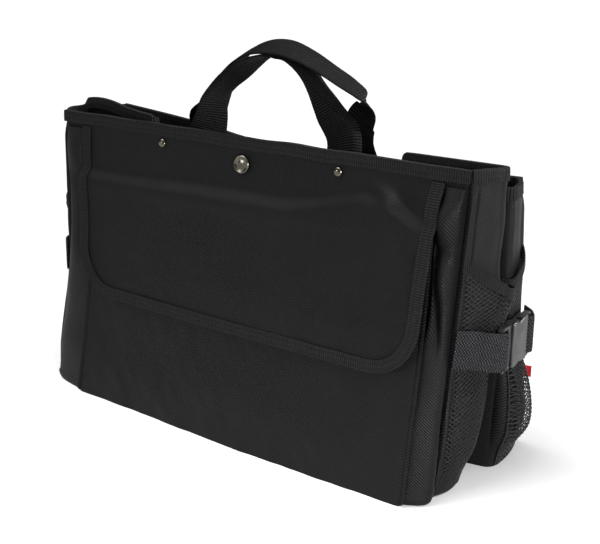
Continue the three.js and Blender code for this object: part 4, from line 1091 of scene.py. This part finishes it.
def flap_at(x, z):
    line = read(FLAP_STEP_ROWS, "z", x, "x")
    slow = smooth((FLAP_FREE - z) / (FLAP_FREE - line))
    step = smooth((line + FLAP_STEP["half"] - z) / (2 * FLAP_STEP["half"]))
    cover = lerp(slow, step, FLAP_STEP["share"])
    lift = lerp(CLOTH / 2 + SOFT_CLOTH / 2 + GAP, FLAP_LIFT, cover)
    y = front_wall_y(z) - cover * pocket_depth(x, z) - lift
    shape = np.maximum(ridges(FLAP_FOLDS, x, z), -FLAP_DENT)
    free = smooth((FLAP_FREE - z) / FLAP_HOLD)
    aside = smooth((x - FLAP_RIGHT["from"]) / FLAP_RIGHT["span"])
    raised = FLAP_RIGHT["lift"] * aside * (1 - FLAP_RIGHT["pressed"] * cover)
    y = y - raised * smooth((FLAP_FREE + FLAP_RIGHT["past"] - z) / FLAP_RIGHT["fade"])
    soft = uneven("flap", x, z)
    return np.stack([x, y - shape * free - soft * free, z], axis=-1)


def flap():
    rows, columns = GRID["flap"]
    across = FLAP_HALF * spread_shares(columns, FLAP_SPACING["edge"], FLAP_SPACING["dense"])
    v, flat = np.meshgrid(np.linspace(0, 1, rows), across, indexing="ij")
    z = lerp(rounded_foot(flat, FLAP_HALF, FLAP_CORNER, FLAP_FOOT), FRONT_TOP, v)
    x = flap_x(flat, z)
    return sheet_piece("flap_cloth", flap_at(x, z), (x, z), SOFT_CLOTH, CLOTH_LOOK, ["flap"])


def flap_edge(step=2.0):
    """Points round the flap's free edge, from the upper left to the upper right."""
    top = FRONT_TOP - TAPE_LEG - 2
    low = FLAP_FOOT + FLAP_CORNER
    inner = FLAP_HALF - FLAP_CORNER
    side = np.arange(top, low, -step)
    turns = np.linspace(0, math.pi / 2, 40)[:-1]
    foot = np.arange(-inner, 0, step)
    x = np.concatenate([np.full(len(side), -FLAP_HALF), -inner - FLAP_CORNER * np.cos(turns), foot])
    z = np.concatenate([side, low - FLAP_CORNER * np.sin(turns), np.full(len(foot), FLAP_FOOT)])
    x = np.concatenate([x, [0], -x[::-1]])
    z = np.concatenate([z, [FLAP_FOOT], z[::-1]])
    return flap_at(flap_x(x, z), z)


# Tapes
def round_section(front, back, leg, back_leg, top):
    """A folded tape in section: across is through the cloth, up is away from it."""
    bulge = 0.25
    outer = [(-front - TAPE, -leg), (-front - TAPE - bulge, -leg * 0.5), (-front - TAPE, top - 0.8)]
    outer += [(-front - TAPE * 0.6, top + TAPE * 0.75), (-front * 0.4, top + TAPE)]
    outer += [(back * 0.4, top + TAPE), (back + TAPE * 0.6, top + TAPE * 0.75), (back + TAPE, top - 0.8)]
    outer += [(back + TAPE + bulge, -back_leg * 0.5), (back + TAPE, -back_leg)]
    inner = [(back, -back_leg), (back, top), (-front, top), (-front, -leg)]
    return np.array(outer + inner)


def tape_piece(name, line, across, up, section, nodes):
    """A tape carried along a line of points."""
    points = (
        line[:, None]
        + across[:, None] * section[None, :, 0, None]
        + up[:, None] * section[None, :, 1, None]
    )
    run = length_along(line)
    around = length_along(np.column_stack([section, np.zeros(len(section))]))
    uv = np.meshgrid(run, around, indexing="ij")
    return sweep_piece(name, points, uv, TAPE_LOOK, nodes)


def flap_binding():
    line = flap_edge()
    way = unit(np.gradient(line, axis=0))
    step = 2.0
    slope = flap_at(line[:, 0], line[:, 2] + step) - flap_at(line[:, 0], line[:, 2] - step)
    across = unit(np.stack([0 * slope[:, 0], slope[:, 2], -slope[:, 1]], axis=-1))
    up = unit(np.cross(way, across))
    across = unit(np.cross(up, way))
    up = -up
    front = SOFT_CLOTH / 2 + 0.5
    section = round_section(front, SOFT_CLOTH / 2 - TAPE, TAPE_LEG, 2, LOOSE)
    piece = tape_piece("flap_binding_tape", line, across, up, section, ["flap_binding"])
    for k, inset in enumerate(STITCH_INSETS["flap"]):
        row = line - across * (front + TAPE + STITCH["lift"]) - up * inset
        stitch_row(f"flap_stitches_{k}", row, -across)
    return piece


def front_binding():
    half = float(front_seam_at(1, FRONT_TOP)) - BINDING_END
    x = np.linspace(-half, half, 260)
    line = front_wall_at(x, np.full_like(x, FRONT_TOP))
    below = front_wall_at(x, np.full_like(x, FRONT_TOP - TAPE_LEG))
    up = unit((line - below) * (0, 1, 1))
    across = np.stack([0 * x, up[:, 2], -up[:, 1]], axis=-1)
    line = line + up * uneven("front_binding", x, 0 * x)[:, None]
    front = CLOTH / 2 + SOFT_CLOTH + 2 * GAP
    back = CLOTH / 2 + GAP
    section = round_section(front, back, TAPE_LEG, TAPE_LEG, GAP)
    piece = tape_piece("front_binding_tape", line, across, up, section, ["front_binding"])
    for k, inset in enumerate(STITCH_INSETS["front"]):
        row = line - across * (front + TAPE + STITCH["lift"]) - up * inset
        stitch_row(f"front_binding_stitches_{k}", row, -across)
    row = line + across * (back + TAPE + STITCH["lift"]) - up * STITCH_INSETS["back"]
    stitch_row("front_binding_stitches_back", row, across)
    return piece


def rear_binding():
    reach = 1 - BINDING_END / float(seam_at("rear_half", FRONT_TOP))
    u = np.linspace(-reach, reach, 240)
    line = rear_wall_at(u, np.ones_like(u))
    up = unit((line - rear_wall_at(u, np.full_like(u, 1 - TAPE_LEG / FRONT_TOP))) * (0, 1, 1))
    across = np.stack([0 * u, up[:, 2], -up[:, 1]], axis=-1)
    flat = CLOTH / 2 + GAP
    section = round_section(flat, flat, TAPE_LEG, TAPE_LEG, GAP)
    piece = tape_piece("rear_binding_tape", line, across, up, section, ["rear_binding"])
    row = line - across * (flat + TAPE + STITCH["lift"]) - up * STITCH_INSETS["back"]
    stitch_row("rear_binding_stitches_front", row, -across)
    row = line + across * (flat + TAPE + STITCH["lift"]) - up * STITCH_INSETS["back"]
    stitch_row("rear_binding_stitches_back", row, across)
    return piece


def side_binding(side, word):
    line, outs = [], []
    for k in range(END_POINTS):
        z = np.array([end_top(k / (END_POINTS - 1), side)])
        place, outward = end_places(side, k, z)
        line.append(place[0])
        outs.append(outward[0])
    line, outs = np.array(line), np.array(outs)
    up = np.tile([0.0, 0.0, 1.0], (END_POINTS, 1))
    flat = CLOTH / 2 + 0.5
    section = round_section(flat, flat, TAPE_LEG, TAPE_LEG, GAP)
    piece = tape_piece(f"side_binding_{word}_tape", line, outs, up, section, [f"side_binding_{word}"])
    row = line + outs * (flat + TAPE + 0.25) - up * STITCH_INSETS["back"]
    stitch_row(f"side_binding_stitches_{word}", row, outs)
    return piece


# Nets
def hem_at(row, u):
    """Height of a net's upper edge: a straight fall from the seam to the corner, then level."""
    left = np.maximum(0, 1 - u / HEM_FALL["share"])
    return lerp(row["inner"], row["seam"], left ** HEM_FALL["power"])


def net_slack(row, u, z):
    """How far a net bulges at shares round the end and heights."""
    factor = lerp(row["slack"], row["mouth"], smooth((z - NET_MOUTH["from"]) / NET_MOUTH["span"]))
    bow = np.sin(math.pi * np.minimum(1, NET_MOUTH["round"] * u)) ** NET_MOUTH["power"]
    return factor * read(NET_ROWS, "bulge", z) * bow


def net_at(row, u, z, extra=0.0):
    """Points of the slack net and their outward directions, for shares round the end and heights."""
    place = np.clip(u * NET_STEPS, 0, NET_STEPS)
    low = np.minimum(place.astype(int), NET_STEPS - 1)
    part = place - low
    side = row["side"]
    first = low if row["end"] == "front" else END_POINTS - 1 - low
    second = low + 1 if row["end"] == "front" else END_POINTS - 2 - low
    level = np.clip(z, 0, FRONT_TOP) / (END_HEIGHTS[1] - END_HEIGHTS[0])
    i = np.minimum(level.astype(int), len(END_HEIGHTS) - 2)
    t = (level - i)[..., None]

    def pick(lines):
        a = lerp(lines[i, first], lines[i + 1, first], t)
        b = lerp(lines[i, second], lines[i + 1, second], t)
        return lerp(a, b, part[..., None])

    point, out = pick(END_LINES[side]), pick(END_OUTS[side])
    slack = net_slack(row, u, z)
    corner = smooth(u / STAND_OFF["corner"]) * smooth((1 - u) / STAND_OFF["back"])
    slack = slack + row["stand"] * corner * smooth((z - STAND_OFF["from"]) / STAND_OFF["span"])
    off = NET_CLEAR + np.maximum(0, slack) + extra
    spot = point + off[..., None] * out
    outward = np.stack([side * out[..., 0], out[..., 1], 0 * z], axis=-1)
    return np.stack([side * spot[..., 0], spot[..., 1], z], axis=-1), outward


def tube(line, normals, radius, sides):
    """A thin closed strand along a line: its points and faces."""
    way = unit(np.gradient(line, axis=0))
    across = unit(np.cross(way, normals))
    up = np.cross(across, way)
    angles = TURN * (np.arange(sides) + 0.5) / sides
    ring = np.cos(angles)[None, :, None] * across[:, None] + np.sin(angles)[None, :, None] * up[:, None]
    points = (line[:, None] + radius * ring).reshape(-1, 3)
    return points, ring_faces(len(line), sides)


def join(parts):
    points, faces, first = [], [], 0
    for part_points, part_faces in parts:
        points.append(part_points)
        faces += [[first + k for k in face] for face in part_faces]
        first += len(part_points)
    return np.concatenate(points), faces


def net_run(row):
    """Lengths along a net from its seam, a quarter of the way up."""
    plan = END_LINES[row["side"]][len(END_HEIGHTS) // 4]
    plan = plan if row["end"] == "front" else plan[::-1]
    return length_along(plan[: NET_STEPS + 1])


def net_piece(row):
    """Diagonal strands over the slack net, with a firmer edge and a ladder along its inner side."""
    run = net_run(row)
    width = run[-1] * row["reach"]
    shares = np.linspace(0, 1, NET_STEPS + 1)
    parts = []

    def share_at(s):
        return np.interp(s, run, shares)

    def strand(s, z, radius, lift=0.0):
        u = share_at(s)
        line, normals = net_at(row, u, z)
        line = line + normals * lift
        parts.append(tube(line, normals, radius, STRAND["sides"]))

    top = max(row["seam"], row["inner"])
    for family in (-1, 1):
        slope = STRAND["slope"]
        start = -top / slope if family > 0 else 0.0
        end = width if family > 0 else width + top / slope
        for offset in np.arange(start, end, STRAND["pitch"] * math.hypot(1, 1 / slope)):
            z = np.arange(NET_FOOT, top, STRAND["step"])
            s = offset + family * z / slope
            s = s + STRAND["stray"] * np.sin(TURN * z / (STRAND["pitch"] * STRAND_WANDER["pitches"]) + offset)
            s = s + STRAND["stray"] * ripple(s, z, STRAND_WANDER["length"], STRAND_WANDER["seed"])
            keep = (s >= 0) & (s <= width) & (z <= hem_at(row, share_at(np.clip(s, 0, width))))
            if keep.sum() < 2:
                continue
            strand(s[keep], z[keep], STRAND["radius"], STRAND_CROSS * family)
    for s in (STRAND_EDGE["start"], width - LADDER["edge"], width - LADDER["inner"]):
        z = np.arange(NET_FOOT, float(hem_at(row, share_at(s))), STRAND["step"])
        strand(np.full_like(z, s), z, STRAND["radius"] * STRAND_EDGE["firm"])
    for z in np.arange(NET_FOOT + LADDER["foot"], row["inner"] - LADDER["head"], LADDER["pitch"]):
        s = np.linspace(width - LADDER["inner"], width - LADDER["edge"], 3)
        strand(s, np.full_like(s, z), STRAND["radius"] * STRAND_EDGE["rung"])
    s = np.linspace(STRAND_EDGE["start"], width - LADDER["edge"], 40)
    strand(s, np.full_like(s, NET_FOOT + STRAND_EDGE["foot"]), STRAND["radius"] * STRAND_EDGE["firm"])
    points, faces = join(parts)
    name = f"net_{row['end']}_{row['word']}"
    return put_mesh(f"{name}_strands", points, faces, None, NET_LOOK, [name])


def net_hem(row):
    lift = NET / 2 + TAPE / 2 + GAP
    vv, uu = shares("hem")
    u = uu[0]
    top = hem_at(row, uu)
    grid, _ = net_at(row, uu, lerp(top - TAPE_LEG, top + 1, vv), lift + 0.3 * np.sin(math.pi * vv))
    run = length_along(grid[len(vv) // 2])
    uv = (np.repeat(run[None], len(vv), axis=0), vv * (TAPE_LEG + 1))
    name = f"net_hem_{row['end']}_{row['word']}"
    piece = sheet_piece(f"{name}_tape", grid, uv, TAPE, TAPE_LOOK, [name])
    for k, inset in enumerate(STITCH_INSETS["hem"]):
        line, normals = net_at(row, u, hem_at(row, u) + 1 - inset, np.full_like(u, lift + TAPE / 2 + 0.3))
        stitch_row(f"{name}_stitches_{k}", line, normals)
    return piece


# Webbing
def through(points, steps):
    """A smooth curve through points, evenly sampled between each two of them, with its index places."""
    first = 2 * points[0] - points[1]
    last = 2 * points[-1] - points[-2]
    padded = np.vstack([first, points, last])
    curve, places = [], []
    for k in range(len(points) - 1):
        p0, p1, p2, p3 = padded[k : k + 4]
        d0, d1, d2 = (math.sqrt(np.linalg.norm(b - a)) for a, b in ((p0, p1), (p1, p2), (p2, p3)))
        t1 = ((p1 - p0) / d0 - (p2 - p0) / (d0 + d1) + (p2 - p1) / d1) * d1
        t2 = ((p2 - p1) / d1 - (p3 - p1) / (d1 + d2) + (p3 - p2) / d2) * d1
        shares = np.linspace(0, 1, steps, endpoint=False)
        for t in shares:
            c2 = 3 * (p2 - p1) - 2 * t1 - t2
            c3 = 2 * (p1 - p2) + t1 + t2
            curve.append(p1 + t1 * t + c2 * t * t + c3 * t ** 3)
        places.extend(k + shares)
    curve.append(points[-1])
    places.append(len(points) - 1)
    return np.array(curve), np.array(places)


def webbing_section(width, thickness):
    """Points round a flat strap: places across it and through it, with firm round edges."""
    half, thick = width / 2, thickness / 2
    edge = WEBBING_EDGE
    across = np.linspace(-1, 1, edge["points"]) * edge["reach"]
    face = [(half * a, thick * (1 - edge["thin"] * abs(a) ** edge["power"])) for a in across]
    tip = [(half, thick * edge["tip"]), (half, -thick * edge["tip"])]
    other = [(a, -b) for a, b in reversed(face)]
    return np.array(face + tip + other + [(-a, -b) for a, b in tip])


def folded_across(places, crease, fold):
    """Where places across a strap lie once the part beyond the crease is bent down, and the bend there."""
    beyond = np.maximum(0, places[None] - crease[:, None])
    shares = (np.arange(WEBBING_STEPS) + 0.5) / WEBBING_STEPS
    bend = fold[:, None, None] * smooth(beyond[..., None] * shares / FOLD_BEND)
    along = np.minimum(places[None], crease[:, None]) + beyond * np.cos(bend).mean(axis=2)
    raised = -beyond * np.sin(bend).mean(axis=2)
    return along, raised, fold[:, None] * smooth(beyond / FOLD_BEND)


def webbing_piece(name, rows_xyz, width_way, fold_at, look, nodes):
    """A strap through a list of points, with ribs across it and a lengthwise fold."""
    curve, places = through(rows_xyz, WEBBING_STEPS)
    run = length_along(curve)
    step = RIB["pitch"] / 4
    at = np.arange(0, run[-1], step)
    line = np.stack([np.interp(at, run, curve[:, k]) for k in range(3)], axis=-1)
    place = np.interp(at, run, places)
    way = unit(np.gradient(line, axis=0))
    kernel = np.hanning(WAY_BLUR) / np.hanning(WAY_BLUR).sum()
    padded = np.pad(way, ((WAY_BLUR // 2, WAY_BLUR // 2), (0, 0)), mode="edge")
    way = unit(np.stack([np.convolve(padded[:, k], kernel, "valid") for k in range(3)], axis=-1))
    wish = width_way(place)
    across = unit(wish - (wish * way).sum(axis=1, keepdims=True) * way)
    up = unit(np.cross(way, across))
    section = webbing_section(WEBBING_WIDTH, WEBBING)
    fold, crease = fold_at(place)
    fold, crease = np.radians(fold), crease * WEBBING_WIDTH / 2
    aside, raised, bend = folded_across(section[:, 0], crease, fold)
    middle_aside, middle_raised, _ = folded_across(np.zeros(1), crease, fold)
    aside, raised = aside - middle_aside, raised - middle_raised
    ribs = RIB["height"] * np.sin(TURN * at / RIB["pitch"])[:, None]
    inner = (np.abs(section[:, 0]) < WEBBING_WIDTH * WEBBING_EDGE["ribbed"])[None]
    thick = section[None, :, 1] + np.sign(section[None, :, 1]) * ribs * inner * 0.5
    points = (
        line[:, None]
        + across[:, None] * (aside + thick * np.sin(bend))[..., None]
        + up[:, None] * (raised + thick * np.cos(bend))[..., None]
    )
    around = length_along(np.column_stack([section, np.zeros(len(section))]))
    uv = np.meshgrid(at, around, indexing="ij")
    return sweep_piece(name, points, uv, look, nodes)


def handle(rows, name, node):
    points = np.stack([rows["x"], rows["y"], rows["z"]], axis=-1)
    index = np.arange(len(points), dtype=float)
    rows = dict(rows, index=index)

    def width_way(place):
        turn = np.radians(read(rows, "turn", place, "index"))
        tilt = np.radians(read(rows, "tilt", place, "index"))
        return np.stack([np.cos(turn), np.sin(turn), np.tan(tilt)], axis=-1)

    def fold_at(place):
        return read(rows, "fold", place, "index"), read(rows, "crease", place, "index")

    return webbing_piece(name, points, width_way, fold_at, HANDLE_LOOK, [node])


def side_strap(rows, side, bar, way, name, node):
    z0 = rows[0][2]
    start = float(front_seam_at(side, z0) if way > 0 else seam_at("rear_half", z0)) + STRAP_START
    route = [(lerp(start, BUCKLE["x"], share), y, z) for share, y, z in rows]
    for k in range(5):
        angle = math.pi * k / 4
        route.append((BUCKLE["x"] + LOOP_RADIUS * math.cos(angle), bar + way * LOOP_RADIUS * math.sin(angle),
                      BUCKLE["z"]))
    route.append((BUCKLE["x"] - LOOP_RADIUS, bar - way * LOOP_TAIL, BUCKLE["z"]))
    points = np.array(route) * (side, 1, 1)

    def width_way(place):
        return np.tile([0.0, 0.0, 1.0], (len(place), 1))

    def fold_at(place):
        return 0 * place, 0 * place

    return webbing_piece(name, points, width_way, fold_at, STRAP_LOOK, [node])


# Fittings
def lathe(profile, sides):
    """Points and faces of a turned piece about its own axis, from pairs of radius and height."""
    points = []
    for radius, height in profile:
        for k in range(sides):
            angle = TURN * k / sides
            points.append((radius * math.cos(angle), radius * math.sin(angle), height))
    return np.array(points), ring_faces(len(profile), sides)


def fitting(name, profile, x, below, node):
    z = FRONT_TOP - below
    step = 3.0

    def spot(height):
        return flap_at(np.array([FLAP_MIDDLE + x]), np.array([float(height)]))[0]

    place = spot(z)
    upward = unit(spot(z + step) - spot(z - step))
    facing = unit(np.cross(np.array([1.0, 0, 0]), upward))
    facing = facing if facing[1] < 0 else -facing
    side = np.cross(upward, facing)
    points, faces = lathe(profile, 48)
    seat = place + facing * (SOFT_CLOTH / 2 + LOOSE)
    spots = seat + points[:, :1] * side + points[:, 1:2] * upward + points[:, 2:] * facing
    if volume_of(spots, faces) < 0:
        faces = [face[::-1] for face in faces]
    return put_mesh(name, spots, faces, None, METAL_LOOK, [node])


def rivet_profile():
    radius, rise = RIVET["radius"], RIVET["rise"]
    rim = 0.5
    angles = np.linspace(0, math.pi / 2 - 0.05, 12)
    dome = [(radius * math.cos(a), rim + (rise - rim) * math.sin(a)) for a in angles]
    return [(radius - 0.3, 0.0), (radius + 0.1, 0.2), *dome]


def snap_profile():
    radius, rise = SNAP["radius"], SNAP["rise"]
    return [
        (radius - 0.6, 0.0), (radius, 0.5), (radius + 0.05, 1.2), (radius - 0.3, rise - 0.5),
        (radius - 0.9, rise - 0.05), (radius - 1.6, rise), (radius - 2.2, rise - 0.35),
        (radius - 2.7, rise - 0.9), (radius - 3.6, rise - 1.1), (radius * 0.4, rise - 0.8),
        (radius * 0.2, rise - 0.65), (0.2, rise - 0.6),
    ]


def seam_tab():
    v, u = shares("tab")
    start = np.array([float(seam_at("rear_half", TAB["z"])) + TAB["start"],
                      float(seam_at("rear", TAB["z"])) + CLOTH / 2, TAB["z"]])
    turn = math.radians(TAB["turn"])
    way = np.array([math.cos(turn), math.sin(turn), 0])
    normal = np.array([-way[1], way[0], 0])
    bow = TAB["bow"] * np.sin(math.pi * u) + TAB["wave"] * np.sin(TURN * v)
    grid = start + TAB["reach"] * u[..., None] * way + TAB["height"] * v[..., None] * (0, 0, 1)
    grid = grid + bow[..., None] * normal
    return sheet_piece("seam_tab_cloth", grid, (TAB["reach"] * u, TAB["height"] * v), TAB["thick"], RED_LOOK,
                       ["seam_tab"])


# Assembly
front_wall()
rear_wall()
base_panel()
pocket_face()
pocket_gusset()
flap()
flap_binding()
front_binding()
rear_binding()
handle(FRONT_HANDLE_ROWS, "front_handle_webbing", "front_handle")
handle(REAR_HANDLE_ROWS, "rear_handle_webbing", "rear_handle")
for word, side in (("left", -1), ("right", 1)):
    end_panel(side, word)
    side_binding(side, word)
    front_bar = BUCKLE["from"] + SLOT_BAR / 2
    rear_bar = BUCKLE["to"] - SLOT_BAR / 2
    ends = (("front", FRONT_STRAP_ROWS, front_bar, 1), ("rear", REAR_STRAP_ROWS, rear_bar, -1))
    for end, rows, bar, way in ends:
        side_strap(rows, side, bar, way, f"strap_{end}_{word}_webbing", f"strap_{end}_{word}")
    for part in ("tongue", "socket"):
        node = frame["nodes"][f"buckle_{part}_{word}"]
        node.data.materials.clear()
        node.data.materials.append(PLASTIC_LOOK)
        soften = node.modifiers.new("soft_edges", "BEVEL")
        soften.width = BUCKLE_EDGE["width"] * MM
        soften.segments = BUCKLE_EDGE["segments"]
        soften.limit_method = "ANGLE"
        soften.harden_normals = True
nets = [net_piece(row) for row in NETS]
hems = [net_hem(row) for row in NETS]
fitting("rivet_left_dome", rivet_profile(), -RIVET["x"], RIVET["below"], "rivet_left")
fitting("rivet_right_dome", rivet_profile(), RIVET["x"], RIVET["below"], "rivet_right")
fitting("snap_cap_dome", snap_profile(), SNAP["x"], SNAP["below"], "snap_cap")
tab = seam_tab()
